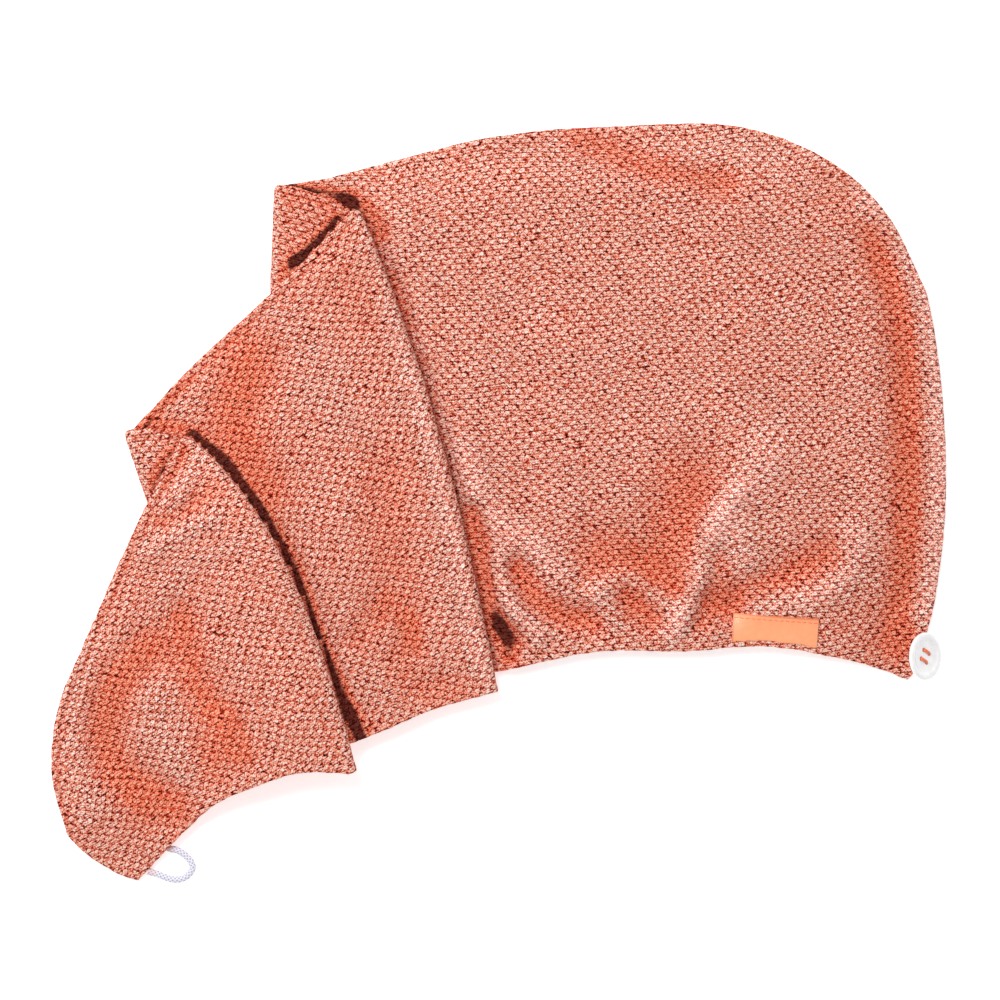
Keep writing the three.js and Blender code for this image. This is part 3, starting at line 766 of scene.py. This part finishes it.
def panelGrids(strip, side):
    # outer and inner face of one panel; they meet at the hem and at the seam
    toRim = np.minimum(np.minimum(strip.toSeam, strip.fromStart), strip.toEnd)
    inward = roundOff(toRim, towel["seamRound"])
    hem = roundOff(strip.toHem, towel["hemRound"])
    innerPly = towel["plyGap"] / 2
    centre = (outerPly + innerPly) / 2 * inward
    half = towel["plyThickness"] / 2 * inward * hem
    lift = (unevenness(strip, side) + side * seamLip(strip, side)) * inward
    up = rimBumps(strip, side)
    if side > 0:
        up[:, :, 2] += frontLift(strip)
    grids = []
    for face in (1, -1):
        offset = side * (centre + face * half)[..., None] * strip.normal
        grid = strip.points + offset + lift[..., None] * strip.normal + up
        grid[..., 2] = np.maximum(grid[..., 2], 0)
        grids.append(grid)
    return grids


def addGrid(bm, strip, points, maps, uvLayer, shadeLevel, shadeLayer):
    # one face of a panel: an even grid whose points are moved to their places
    columns, rows = strip.points.shape[:2]
    made = bmesh.ops.create_grid(bm, x_segments=columns - 1, y_segments=rows - 1, size=0.5)
    place = {}
    corner = Vector((*towel["corner"], 0))
    for vert in made["verts"]:
        column = round((vert.co.x + 0.5) * (columns - 1))
        row = round((vert.co.y + 0.5) * (rows - 1))
        place[vert] = (column, row)
        vert[shadeLayer] = shadeLevel[column, row]
        vert.co = Vector(points[column, row]) + corner
    faces = {face for vert in made["verts"] for face in vert.link_faces}
    for face in faces:
        spots = [place[loop.vert] for loop in face.loops]
        shown = int(strip.shownLayer[min(column for column, row in spots)])
        for loop, (column, row) in zip(face.loops, spots):
            loop[uvLayer].uv = maps[shown][column, row]


def makePanel(name, node, side, spacing, material):
    strip = Strip(spacing)
    # a fold shows the weave of the layer above it, apart from its lower third
    strip.shownLayer = strip.layerOf.copy()
    for column in np.flatnonzero(strip.isFold):
        if strip.turned[column][0] > -math.pi / 6:
            strip.shownLayer[column] += 1
    maps = [strip.weaveMap(layer) for layer in range(len(layers))]
    bm = bmesh.new()
    uvLayer = bm.loops.layers.uv.new("weave")
    # each vertex keeps its painted shade and highlight
    shadeLayer = bm.verts.layers.float.new("relief")
    shadeLevel = panelPaintedShade(strip, side)
    for points in panelGrids(strip, side):
        addGrid(bm, strip, points, maps, uvLayer, shadeLevel, shadeLayer)
    bmesh.ops.remove_doubles(bm, verts=bm.verts[:], dist=1e-6)
    bmesh.ops.recalc_face_normals(bm, faces=bm.faces[:])
    tree = BVHTree.FromBMesh(bm)
    mesh = meshFrom(bm, name)
    panel = addObject(name, mesh, material, [node])
    print(name, "made,", len(mesh.polygons), "faces")
    return panel, tree


# Painted shade and highlight: how far the cloth stands above or below its surroundings, kept at each vertex
# and painted into its colour, darker in hollows and lighter on crests
relief = {
    "step": 0.00075,  # of the map of heights
    "margin": 0.03,
    "full": 0.005,  # rise of a dent that counts as a full crest or hollow
    "lip": 0.45,  # painted shade in the crevice inside the seam's lip
    "layerShade": [-0.16, -0.5, -0.25, -0.1, -0.28],  # painted shade laid over each whole layer
    "beside": [(0.0012, 0.0014, 0.55), (0.0035, 0.005, 0.12)],  # painted shadow beside higher folds: spread in metres, full height, weight
    "slack": 0.15,  # share of that height that doesn't count
    "skin": 0.0016,  # a vertex this far below the top face is a hidden one
    # painted shade given to a vertex hidden under the top face
    "hidden": -0.6,
    "above": 0.1,  # height that rays start from
}


def blurred(values, spread):
    reach = math.ceil(3 * spread)
    weights = np.exp(-0.5 * (np.arange(-reach, reach + 1) / spread) ** 2)
    weights /= weights.sum()
    for axis in (0, 1):
        padded = np.pad(values, [(reach, reach) if k == axis else (0, 0) for k in (0, 1)], mode="edge")
        count = values.shape[axis]
        values = sum(w * np.take(padded, range(k, k + count), axis) for k, w in enumerate(weights))
    return values


def panelPaintedShade(strip, side):
    # painted shade and highlight from the crests and hollows of the layers that one panel shows; 1 is a
    # full crest and -1 a full hollow
    shadeLevel = seamLip(strip, side) / towel["lipDepth"] * relief["lip"]
    for layer in range(0 if side > 0 else 1, len(layers), 2):
        columns = np.flatnonzero((strip.layerOf == layer) & ~strip.isFold)
        shadeLevel[columns] += dentRise(strip, layer, columns) / relief["full"] + relief["layerShade"][layer]
    return shadeLevel


def heightMap(trees):
    low, high = (np.array(corner[:2]) for corner in cadBox)
    low, high = low - relief["margin"], high + relief["margin"]
    counts = np.ceil((high - low) / relief["step"]).astype(int)
    down = Vector((0, 0, -1))
    heights = np.zeros(counts)
    for column in range(counts[0]):
        x = low[0] + column * relief["step"]
        for row in range(counts[1]):
            start = Vector((x, low[1] + row * relief["step"], relief["above"]))
            for tree in trees:
                hit = tree.ray_cast(start, down)[0]
                if hit and hit.z > heights[column, row]:
                    heights[column, row] = hit.z
    return low, heights


def shadeHollows(panels, trees):
    # painted shadow: places overlooked by a higher fold are darkened as hollows too
    low, heights = heightMap(trees)
    cloth = (heights > 0).astype(float)
    paintedFoldShadow = np.zeros(heights.shape)
    for spread, full, weight in relief["beside"]:
        steps = spread / relief["step"]
        around = blurred(heights, steps) / np.maximum(blurred(cloth, steps), 1e-6)
        paintedFoldShadow += weight * np.clip((around - heights) / full - relief["slack"], 0, 1)
    for panel in panels:
        mesh = panel.data
        places = np.empty(3 * len(mesh.vertices))
        mesh.vertices.foreach_get("co", places)
        places = places.reshape(-1, 3)
        spots = np.rint((places[:, :2] - low) / relief["step"]).astype(int)
        column, row = spots[:, 0], spots[:, 1]
        shadeLevel = np.empty(len(mesh.vertices))
        data = mesh.attributes["relief"].data
        data.foreach_get("value", shadeLevel)
        shown = places[:, 2] > heights[column, row] - relief["skin"]
        data.foreach_set("value", np.where(shown, shadeLevel - paintedFoldShadow[column, row], relief["hidden"]))
    print("hollows shaded")


# Elastic loop: the route that the cord lies on, from the tip's corner of the hem, in metres
elastic = {
    "diameter": 0.0032,
    "length": 0.041,
    "strands": 9,  # ridges of the braid round the cord
    "braidPitch": 0.0062,
    "route": [
        (0.0136, 0.0158), (0.0156, 0.0149), (0.018, 0.0146), (0.0208, 0.0132), (0.0233, 0.0112),
        (0.0253, 0.0088), (0.026, 0.0059), (0.0248, 0.0034), (0.0226, 0.0014), (0.0194, 0.0003),
        (0.0157, 0.0005), (0.0121, 0.0017), (0.0092, 0.0029), (0.0066, 0.0036), (0.0046, 0.0042),
    ],
    "around": 28,
    "along": 220,
}


def tubeMesh(name, route, radius, around, along, ridges=None):
    # a tube along a route: an even grid rolled round it, closed at both ends
    path = splineThrough(np.array([route]), 24)
    length = reachedAlong(path)[0, -1]
    middle = alongCurves(path, np.linspace(0, 1, along + 1))[0]
    ahead = np.gradient(middle, axis=0)
    ahead /= np.linalg.norm(ahead, axis=-1, keepdims=True)
    bm = bmesh.new()
    uvLayer = bm.loops.layers.uv.new("weave")
    bmesh.ops.create_grid(bm, x_segments=along, y_segments=around, size=0.5)
    side = Vector((0, 0, 1)).cross(Vector(ahead[0])).normalized()
    frames = []
    for step in range(along + 1):
        forward = Vector(ahead[step])
        side = (side - forward * side.dot(forward)).normalized()
        frames.append((Vector(middle[step]), side.copy(), forward.cross(side)))
    for vert in bm.verts:
        share = vert.co.x + 0.5
        turn = vert.co.y + 0.5
        for loop in vert.link_loops:
            loop[uvLayer].uv = (share * length * 1000, turn)
        centre, right, up = frames[round(share * along)]
        size = radius * (1 + (ridges(share * length, turn) if ridges else 0))
        angle = 2 * math.pi * turn
        vert.co = centre + (right * math.cos(angle) + up * math.sin(angle)) * size
    bmesh.ops.remove_doubles(bm, verts=bm.verts[:], dist=1e-7)
    bmesh.ops.holes_fill(bm, edges=[edge for edge in bm.edges if edge.is_boundary])
    bmesh.ops.recalc_face_normals(bm, faces=bm.faces[:])
    return meshFrom(bm, name), [tuple(point) for point in middle], length


def braidRelief(distance, turn):
    # two sets of strands that cross round the cord
    pitch, strands = elastic["braidPitch"], elastic["strands"]
    left = math.sin(math.pi * (distance / pitch * strands / 2 + strands / 2 * turn * 2))
    right = math.sin(math.pi * (distance / pitch * strands / 2 - strands / 2 * turn * 2))
    return 0.05 * max(abs(left), abs(right)) - 0.03


def makeLoop(material):
    tip = linePoint(lines["tip"], 0.0) + np.array(towel["corner"])
    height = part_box("elastic_loop")[0][2] + elastic["diameter"] / 2
    route = [(tip[0] + x, tip[1] + y, height) for x, y in elastic["route"]]
    mesh, path, length = tubeMesh(
        "braided_loop", route, elastic["diameter"] / 2, elastic["around"], elastic["along"], braidRelief
    )
    loop = addObject("braided_loop", mesh, material, ["elastic_loop"])
    print("loop made,", round(length * 1000, 1), "mm")
    return loop


# Button, turned on its own axis and set by its CAD place
button = {
    "radius": 0.0115,
    "thickness": 0.0029,
    "tilt": 46,  # degrees, its outer rim down
    "turn": -26,
    "holeRadius": 0.00112,
    "holeSpacing": 0.0046,
    "steps": 96,
    "profile": [  # shares of the radius and of the half thickness
        (0, -1), (0.5, -1), (0.78, -0.97), (0.9, -0.8), (0.975, -0.4), (1, 0.1), (0.99, 0.55),
        (0.965, 0.85), (0.92, 0.98), (0.86, 1), (0.8, 0.96), (0.755, 0.82), (0.72, 0.6), (0.67, 0.42),
        (0.56, 0.3), (0.3, 0.22), (0, 0.2),
    ],
    "dishFloor": 0.2,  # share of the half thickness, as at the end of the profile
    "drillSides": 32,
    "sharpAngle": 50,  # degrees
    "threadRadius": 0.00026,
    "threadTurns": 3,
    "threadStep": 1.9,  # thread radii from one turn to the next
    "threadRise": (0.0003, 0.0004),  # over the dish, at the holes and halfway
    "threadBow": 0.0002,
    "threadMesh": (10, 60),  # sides and steps
    "knotTurns": 5,
    "knotRadius": 0.00042,
    "knotMesh": (10, 30),
    "knotWidth": 0.0007,
    "shankSlope": 0.8,
}


def buttonPlace():
    low, high = (Vector(corner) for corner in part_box("button"))
    tilt = Matrix.Rotation(math.radians(button["tilt"]), 4, "Y")
    turn = Matrix.Rotation(math.radians(button["turn"]), 4, "Z")
    return Matrix.Translation((low + high) / 2) @ tilt @ turn


def holePlaces():
    reach = button["holeSpacing"] / 2
    return [(x * reach, y * reach) for x, y in ((1, 1), (-1, 1), (-1, -1), (1, -1))]


def makeButton(material):
    bm = bmesh.new()
    half = button["thickness"] / 2
    verts = [bm.verts.new((x * button["radius"], 0, z * half)) for x, z in button["profile"]]
    edges = [bm.edges.new(pair) for pair in zip(verts[:-1], verts[1:])]
    bmesh.ops.spin(
        bm, geom=verts + edges, cent=(0, 0, 0), axis=(0, 0, 1), angle=2 * math.pi,
        steps=button["steps"], use_merge=True, use_normal_flip=False, use_duplicate=False,
    )
    bmesh.ops.remove_doubles(bm, verts=bm.verts[:], dist=1e-6)
    bmesh.ops.recalc_face_normals(bm, faces=bm.faces[:])
    mesh = meshFrom(bm, "white_button")
    drills = bmesh.new()
    for x, y in holePlaces():
        bmesh.ops.create_cone(
            drills, cap_ends=True, segments=button["drillSides"], radius1=button["holeRadius"],
            radius2=button["holeRadius"], depth=4 * button["thickness"],
            matrix=Matrix.Translation((x, y, 0)),
        )
    drill = bpy.data.objects.new("drill", meshFrom(drills, "drill"))
    piece = addObject("white_button", mesh, material, ["button"])
    bpy.context.scene.collection.objects.link(drill)
    cut = piece.modifiers.new("holes", "BOOLEAN")
    cut.operation = "DIFFERENCE"
    cut.object = drill
    applyModifiers(piece)
    bpy.data.objects.remove(drill)
    piece.data.transform(buttonPlace())
    piece.data.shade_smooth()
    piece.data.set_sharp_from_angle(angle=math.radians(button["sharpAngle"]))
    print("button made")
    return piece


def applyModifiers(piece):
    # the evaluated mesh takes the place of the piece's own
    graph = bpy.context.evaluated_depsgraph_get()
    made = bpy.data.meshes.new_from_object(piece.evaluated_get(graph))
    made.name = piece.name
    piece.modifiers.clear()
    piece.data = made


def joinMeshes(name, meshes):
    bm = bmesh.new()
    for mesh in meshes:
        bm.from_mesh(mesh)
        bpy.data.meshes.remove(mesh)
    return meshFrom(bm, name)


def makeThread(material):
    # turns of thread through the holes, a knot of turns at the back and the shank down to the cloth
    place = buttonPlace()
    reach = button["holeSpacing"] / 2
    front = button["dishFloor"] * button["thickness"] / 2 + button["threadRadius"]
    back = -button["thickness"] / 2 - 2 * button["threadRadius"]
    meshes = []
    turns = button["threadTurns"]
    for side in (-1, 1):
        for turn in range(turns):
            across = side * reach + (turn - (turns - 1) / 2) * button["threadStep"] * button["threadRadius"]
            bow = button["threadBow"] * (1 - abs(turn - 1))
            atHole, halfway = (front + rise + bow for rise in button["threadRise"])
            route = [
                (-reach * 0.9, across * 0.97, back), (-reach, across, 0), (-reach * 0.97, across, front),
                (-reach * 0.6, across, atHole), (0, across, halfway), (reach * 0.6, across, atHole),
                (reach * 0.97, across, front), (reach, across, 0), (reach * 0.9, across * 0.97, back),
            ]
            meshes.append(tubeMesh("turn", route, button["threadRadius"], *button["threadMesh"])[0])
    low = Vector(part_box("button_thread")[0])
    backPoint = place @ Vector((0, 0, back))
    foot = Vector((backPoint.x - (backPoint.z - low.z) * button["shankSlope"], backPoint.y, low.z))
    inPlane = place.inverted() @ foot
    for turn in range(button["knotTurns"]):
        angle = 2 * math.pi * turn / button["knotTurns"]
        spread = Vector((math.cos(angle), math.sin(angle), 0))
        start = Vector((0, 0, back)) + spread * reach * 1.1
        middle = Vector((0, 0, back - 0.0008)) + spread * 0.0006
        end = inPlane + spread * button["knotWidth"]
        route = [start, middle, (middle + end) / 2, end]
        meshes.append(tubeMesh("turn", route, button["knotRadius"], *button["knotMesh"])[0])
    mesh = joinMeshes("orange_thread", meshes)
    mesh.transform(place)
    piece = addObject("orange_thread", mesh, material, ["button_thread"])
    print("thread made")
    return piece


# Label along the hood's hem, left bare
label = {
    "length": 0.0409,
    "height": 0.0139,
    "thickness": 0.0006,
    "gap": 0.0003,
    "place": 0.228,  # share of the hood's hem, from its corner to the label's middle
    "turn": 4,  # degrees, its outer end down
    "inset": 0.0011,  # between the hem and the middle of the label's lower edge
    "stitchInset": 0.0021,  # from the upper edge
    "stitches": 15,
    "stitchPlace": (0.18, 0.66),  # start and length as shares of a stitch's step
    "stitchSlant": 0.0003,
    "stitchRise": 0.0002,
    "stitchRadius": 0.00019,
    "stitchMesh": (8, 10),  # sides and steps
    "meshSteps": (72, 24),
    "edgeShare": 0.3,  # of the thickness, for the rounded edge
    "bridge": 0.003,  # half the width over which the label levels the cloth
}


def labelPlace():
    # the label's middle on the hem, and the direction that it runs in
    hem = layerCurves(0, np.array([0.0]))
    middle = alongCurves(hem, np.array([label["place"]]))[0, 0] + np.array(towel["corner"])
    turn = math.radians(label["turn"])
    return Vector(middle), Vector((-math.cos(turn), math.sin(turn)))


def labelSpot(along, inward):
    # point on the label: along from its middle, inward from the hem
    middle, ahead = labelPlace()
    return middle.x + ahead.x * along + ahead.y * inward, middle.y + ahead.y * along - ahead.x * inward


def clothTop(tree, x, y):
    hit = tree.ray_cast(Vector((x, y, 1)), Vector((0, 0, -1)))[0]
    return hit.z if hit else 0


def labelHeightAt(tree, x, y):
    # the label bridges the cloth's small lumps
    reach = label["bridge"]
    around = [(0, 0), (reach, 0), (-reach, 0), (0, reach), (0, -reach)]
    return sum(clothTop(tree, x + dx, y + dy) for dx, dy in around) / len(around)


def makeLabel(tree, material):
    bm = bmesh.new()
    uvLayer = bm.loops.layers.uv.new("weave")
    columns, rows = label["meshSteps"]
    bmesh.ops.create_grid(bm, x_segments=columns, y_segments=rows, size=0.5)
    for vert in bm.verts:
        along = -vert.co.x * label["length"]
        inward = label["inset"] + (vert.co.y + 0.5) * label["height"]
        for loop in vert.link_loops:
            loop[uvLayer].uv = (-along * 1000, inward * 1000)
        x, y = labelSpot(-along, inward)
        height = labelHeightAt(tree, x, y) + label["gap"]
        vert.co = (x, y, height)
    bmesh.ops.recalc_face_normals(bm, faces=bm.faces[:])
    if sum(face.normal.z for face in bm.faces) < 0:
        bmesh.ops.reverse_faces(bm, faces=bm.faces[:])
    piece = addObject("ribbon_label", meshFrom(bm, "ribbon_label"), material, ["side_label"])
    wall = piece.modifiers.new("wall", "SOLIDIFY")
    wall.thickness = label["thickness"]
    wall.offset = 1
    edge = piece.modifiers.new("edge", "BEVEL")
    edge.width = label["thickness"] * label["edgeShare"]
    edge.segments = 2
    applyModifiers(piece)
    piece.data.shade_smooth()
    print("label made")
    return piece


def makeStitches(tree, material):
    # running stitch that holds the label's upper edge
    meshes = []
    step = label["length"] / label["stitches"]
    inward = label["inset"] + label["height"] - label["stitchInset"]
    for index in range(label["stitches"]):
        first, share = label["stitchPlace"]
        start = -label["length"] / 2 + (index + first) * step
        route = []
        for spot in (0, 0.15, 0.5, 0.85, 1):
            slant = label["stitchSlant"] * (1 if index % 2 else -1) * (spot - 0.5)
            x, y = labelSpot(start + spot * share * step, inward + slant)
            top = labelHeightAt(tree, x, y) + label["gap"] + label["thickness"]
            route.append((x, y, top + label["stitchRise"] * (math.sin(math.pi * spot) - 0.5)))
        meshes.append(tubeMesh("stitch", route, label["stitchRadius"], *label["stitchMesh"])[0])
    piece = addObject("label_stitches", joinMeshes("label_stitches", meshes), material)
    print("stitches made")
    return piece


# Materials
cloth = {
    "firstWave": (0.177, -0.1646, 0),  # the weave's two waves, in cycles per millimetre
    "secondWave": (0.1354, 0.21875, 0),
    "waves": [  # how often each takes the first and the second wave, its height, and its phase in degrees
        (1, 0, 0.1, 0), (0, 1, 0.105, 0), (1, -1, 0.095, 12), (1, 1, 0.068, -162), (2, -2, 0.15, 180),
        (0, 2, 0.057, 140), (1, -2, 0.054, -44), (1, 2, 0.057, 29),
    ],
    "depth": 0.0005,  # of the gaps between the loops of yarn
    "colours": [  # the yarn's colour from the gaps to the tops of the loops, with painted shade in the gaps and painted highlight on the tops
        (0.0, (40, 0, 0)), (0.2, (120, 6, 0)), (0.34, (190, 56, 30)), (0.46, (224, 112, 82)),
        (0.58, (238, 146, 118)), (0.72, (248, 178, 156)), (0.86, (255, 212, 196)), (1.0, (255, 246, 238)),
    ],
    "hollow": (1, 0.56, 0.42),  # painted shade: what a hollow leaves of the colour
    "crest": 0.1,  # painted highlight: share of white on a crest
    # painted light: how much brighter a crest is made
    "crestPaintedLight": 0.36,
    "crevice": (0.14, 0.08, 0.08),  # painted shadow: what the darkest places between folds leave of the colour
    # painted shadow: the shade level where it starts and how fast it deepens
    "creviceShadowFrom": -1.35,
    "creviceShadowGain": 1.7,
    "driftScale": 0.025,  # slow bends of the weave, in waves for each millimetre
    "drift": 7.0,  # and their size in millimetres
    "jitterScale": 0.5,
    "jitter": 0.8,
    "loopShare": 0.42,  # of the loops of yarn in the height
    "grainScale": 1.8,  # of the single fibres
    "grainShare": 1.8,
    "lift": 0.28,  # added to the height
    "speck": (14, 8, 14),  # dark fibres in the gaps
    "speckScale": 1.2,
}


def makeTowelling():
    material, start = newMaterial("towelling")
    uv = start.node("ShaderNodeUVMap", {"uv_map": "weave"})
    spot = uv.moved(uv.wandering(cloth["driftScale"], cloth["drift"]))
    bent = spot.moved(uv.wandering(cloth["jitterScale"], cloth["jitter"]))
    first = bent.dot(cloth["firstWave"])
    second = bent.dot(cloth["secondWave"])
    weave = 0
    for firsts, seconds, size, phase in cloth["waves"]:
        weave = weave + (first * firsts + second * seconds + phase / 360).wave() * size
    lattice = start.node("ShaderNodeCombineXYZ", {}, {"X": first * 2, "Y": second * 2})
    cells = {"Vector": lattice, "Scale": 1.0, "Randomness": 0.5}
    loops = start.node("ShaderNodeTexVoronoi", {"feature": "DISTANCE_TO_EDGE"}, cells).between(0.0, 0.15)
    grain = spot.mottled(cloth["grainScale"])
    height = weave + loops * cloth["loopShare"] + (grain - 0.5) * cloth["grainShare"] + cloth["lift"]
    # yarn colour with painted shade in the gaps and painted highlight on the loop tops
    base = height.ramp(colourStops(cloth["colours"]))
    speck = uv.mottled(cloth["speckScale"], 1.0)
    dark = speck.between(0.58, 0.62) * (1 - height.between(0.14, 0.34))
    base = base.mixed(screenColour(*cloth["speck"]), dark)
    # painted shade and light: hollows darker and redder, crevices between folds near black, crests brighter
    # and whiter
    shadeLevel = start.node("ShaderNodeAttribute", {"attribute_name": "relief"}, {}, "Fac")
    base = base.mixed(base.times(cloth["hollow"]), (0 - shadeLevel).held())
    paintedShadowMask = (cloth["creviceShadowFrom"] - shadeLevel) * cloth["creviceShadowGain"]
    base = base.mixed(base.times(cloth["crevice"]), paintedShadowMask.held())
    base = base.scaled(shadeLevel.held() * cloth["crestPaintedLight"] + 1)
    base = base.mixed((1, 1, 1, 1), shadeLevel.held() * cloth["crest"])
    finishMaterial(
        start,
        {
            "Roughness": 0.95, "Specular IOR Level": 0.1, "Sheen Weight": 0.08,
            "Sheen Roughness": 0.5, "Sheen Tint": (1, 0.86, 0.8, 1),
        },
        base,
        normal=bumped(start, height, cloth["depth"]),
    )
    return material


buttonColours = [(0.3, (238, 236, 238)), (0.7, (252, 251, 250))]


def makeButtonFinish():
    material, start = newMaterial("buttonWhite")
    place = start.node("ShaderNodeTexCoord", {}, {}, "Object")
    cloud = place.mottled(260.0, 3.0)
    base = cloud.ramp(colourStops(buttonColours))
    scuff = place.mottled(900.0)
    finishMaterial(
        start, {"Coat Weight": 0.4, "Coat Roughness": 0.08, "IOR": 1.5}, base,
        roughness=0.16 + scuff * 0.12, normal=bumped(start, cloud, 0.00008, 0.3),
    )
    return material


threadColours = [(0.0, (232, 84, 30)), (0.6, (255, 122, 62)), (1.0, (255, 160, 108))]


def makeThreadFinish():
    material, start = newMaterial("orangeThread")
    uv, along, around = weaveMap(start)
    twist = (along * 1.6 + around).wave() * 0.5 + 0.5
    base = twist.ramp(colourStops(threadColours))
    settings = {"Roughness": 0.55, "Sheen Weight": 0.2}
    finishMaterial(start, settings, base, normal=bumped(start, twist, 0.00006))
    return material


labelLook = {
    "colours": [(0.15, (240, 138, 88)), (0.5, (255, 164, 114)), (0.9, (255, 184, 138))],
    "topBand": (13.0, 13.5),  # millimetres inward from the lower edge to the darker upper edge
    "endBand": (19.4, 20.1),  # and from the middle to the folded end
}


def makeLabelFinish():
    material, start = newMaterial("labelSatin")
    uv, along, inward = weaveMap(start)
    warp = (along * 2.2).wave() * 0.5 + 0.5
    weft = (inward * 3.4).wave() * 0.5 + 0.5
    sheen = uv.mottled(0.3, 3.0)
    thread = warp * 0.35 + weft * 0.35 + sheen * 0.3
    base = thread.ramp(colourStops(labelLook["colours"]))
    low, high = (label["inset"] * 1000 + band for band in labelLook["topBand"])
    top = inward.between(low, high)
    base = base.mixed(screenColour(226, 118, 70), top * 0.8)
    folded = along.between(*labelLook["endBand"])
    base = base.mixed(screenColour(222, 112, 64), folded * 0.7)
    finishMaterial(
        start, {"Sheen Weight": 0.25, "Coat Weight": 0.1}, base,
        roughness=0.36 + sheen * 0.15, normal=bumped(start, thread, 0.00005, 0.6),
    )
    return material


braidColours = [(0.1, (178, 175, 202)), (0.6, (212, 210, 229)), (1.0, (242, 241, 250))]


def makeElasticFinish():
    material, start = newMaterial("elasticBraid")
    uv, along, around = weaveMap(start)
    left = (along * 0.5 + around * 5).wave() * 0.5 + 0.5
    right = (along * 0.5 - around * 5).wave() * 0.5 + 0.5
    braid = left.maths("MAXIMUM", left, right)
    base = braid.ramp(colourStops(braidColours))
    ends = (1 - along.between(1.0, 6.0)) + along.between(36.0, 41.0)
    base = base.mixed(screenColour(236, 176, 160), ends * 0.5)
    settings = {"Roughness": 0.7, "Sheen Weight": 0.3}
    finishMaterial(start, settings, base, normal=bumped(start, braid, 0.0003))
    return material


towelling = makeTowelling()
threadFinish = makeThreadFinish()
print("materials made")

makeLoop(makeElasticFinish())
front, frontTree = makePanel("front_towelling", "front_panel", 1, towel["frontSpacing"], towelling)
back, backTree = makePanel("back_towelling", "back_panel", -1, towel["backSpacing"], towelling)
shadeHollows([front, back], [frontTree, backTree])
makeButton(makeButtonFinish())
makeThread(threadFinish)
makeLabel(frontTree, makeLabelFinish())
makeStitches(frontTree, threadFinish)

# Studio: a pale floor, a large soft light above and a bright surround
studio = {
    "floorSize": 8,
    "surround": 0.62,
    "mainPower": 36.5,
    "mainPlace": (-0.75, 0.95, 1.9),
    "mainSize": 0.95,
    "glow": 0.46,  # light of the floor's own
    "floorDrop": 0.0001,
}


def makeStudio():
    bm = bmesh.new()
    bmesh.ops.create_grid(bm, x_segments=4, y_segments=4, size=studio["floorSize"] / 2)
    floor = bpy.data.objects.new("floor", meshFrom(bm, "floor", rounded=False))
    material, start = newMaterial("paleFloor")
    place = start.node("ShaderNodeTexCoord", {}, {}, "Object")
    cloud = place.mottled(2.0)
    pale = cloud.ramp([(0, (0.93, 0.93, 0.94, 1)), (1, (0.95, 0.95, 0.95, 1))])
    glow = {"Roughness": 0.9, "Emission Color": (1, 1, 1, 1), "Emission Strength": studio["glow"]}
    finishMaterial(start, glow, pale)
    floor.data.materials.append(material)
    floor.data.transform(Matrix.Translation((0, 0, -studio["floorDrop"])))
    bpy.context.scene.collection.objects.link(floor)
    world = bpy.data.worlds.new("surround")
    world.use_nodes = True
    background = world.node_tree.nodes["Background"]
    background.inputs["Color"].default_value = (1, 1, 1, 1)
    background.inputs["Strength"].default_value = studio["surround"]
    bpy.context.scene.world = world
    lamp = bpy.data.lights.new("overhead", "AREA")
    lamp.shape = "SQUARE"
    lamp.size = studio["mainSize"]
    lamp.energy = studio["mainPower"]
    overhead = bpy.data.objects.new("overhead", lamp)
    overhead.location = studio["mainPlace"]
    overhead.rotation_euler = (-Vector(studio["mainPlace"])).to_track_quat("-Z", "Y").to_euler()
    bpy.context.scene.collection.objects.link(overhead)
    bpy.context.scene.view_settings.view_transform = "Standard"


makeStudio()
print("studio made")
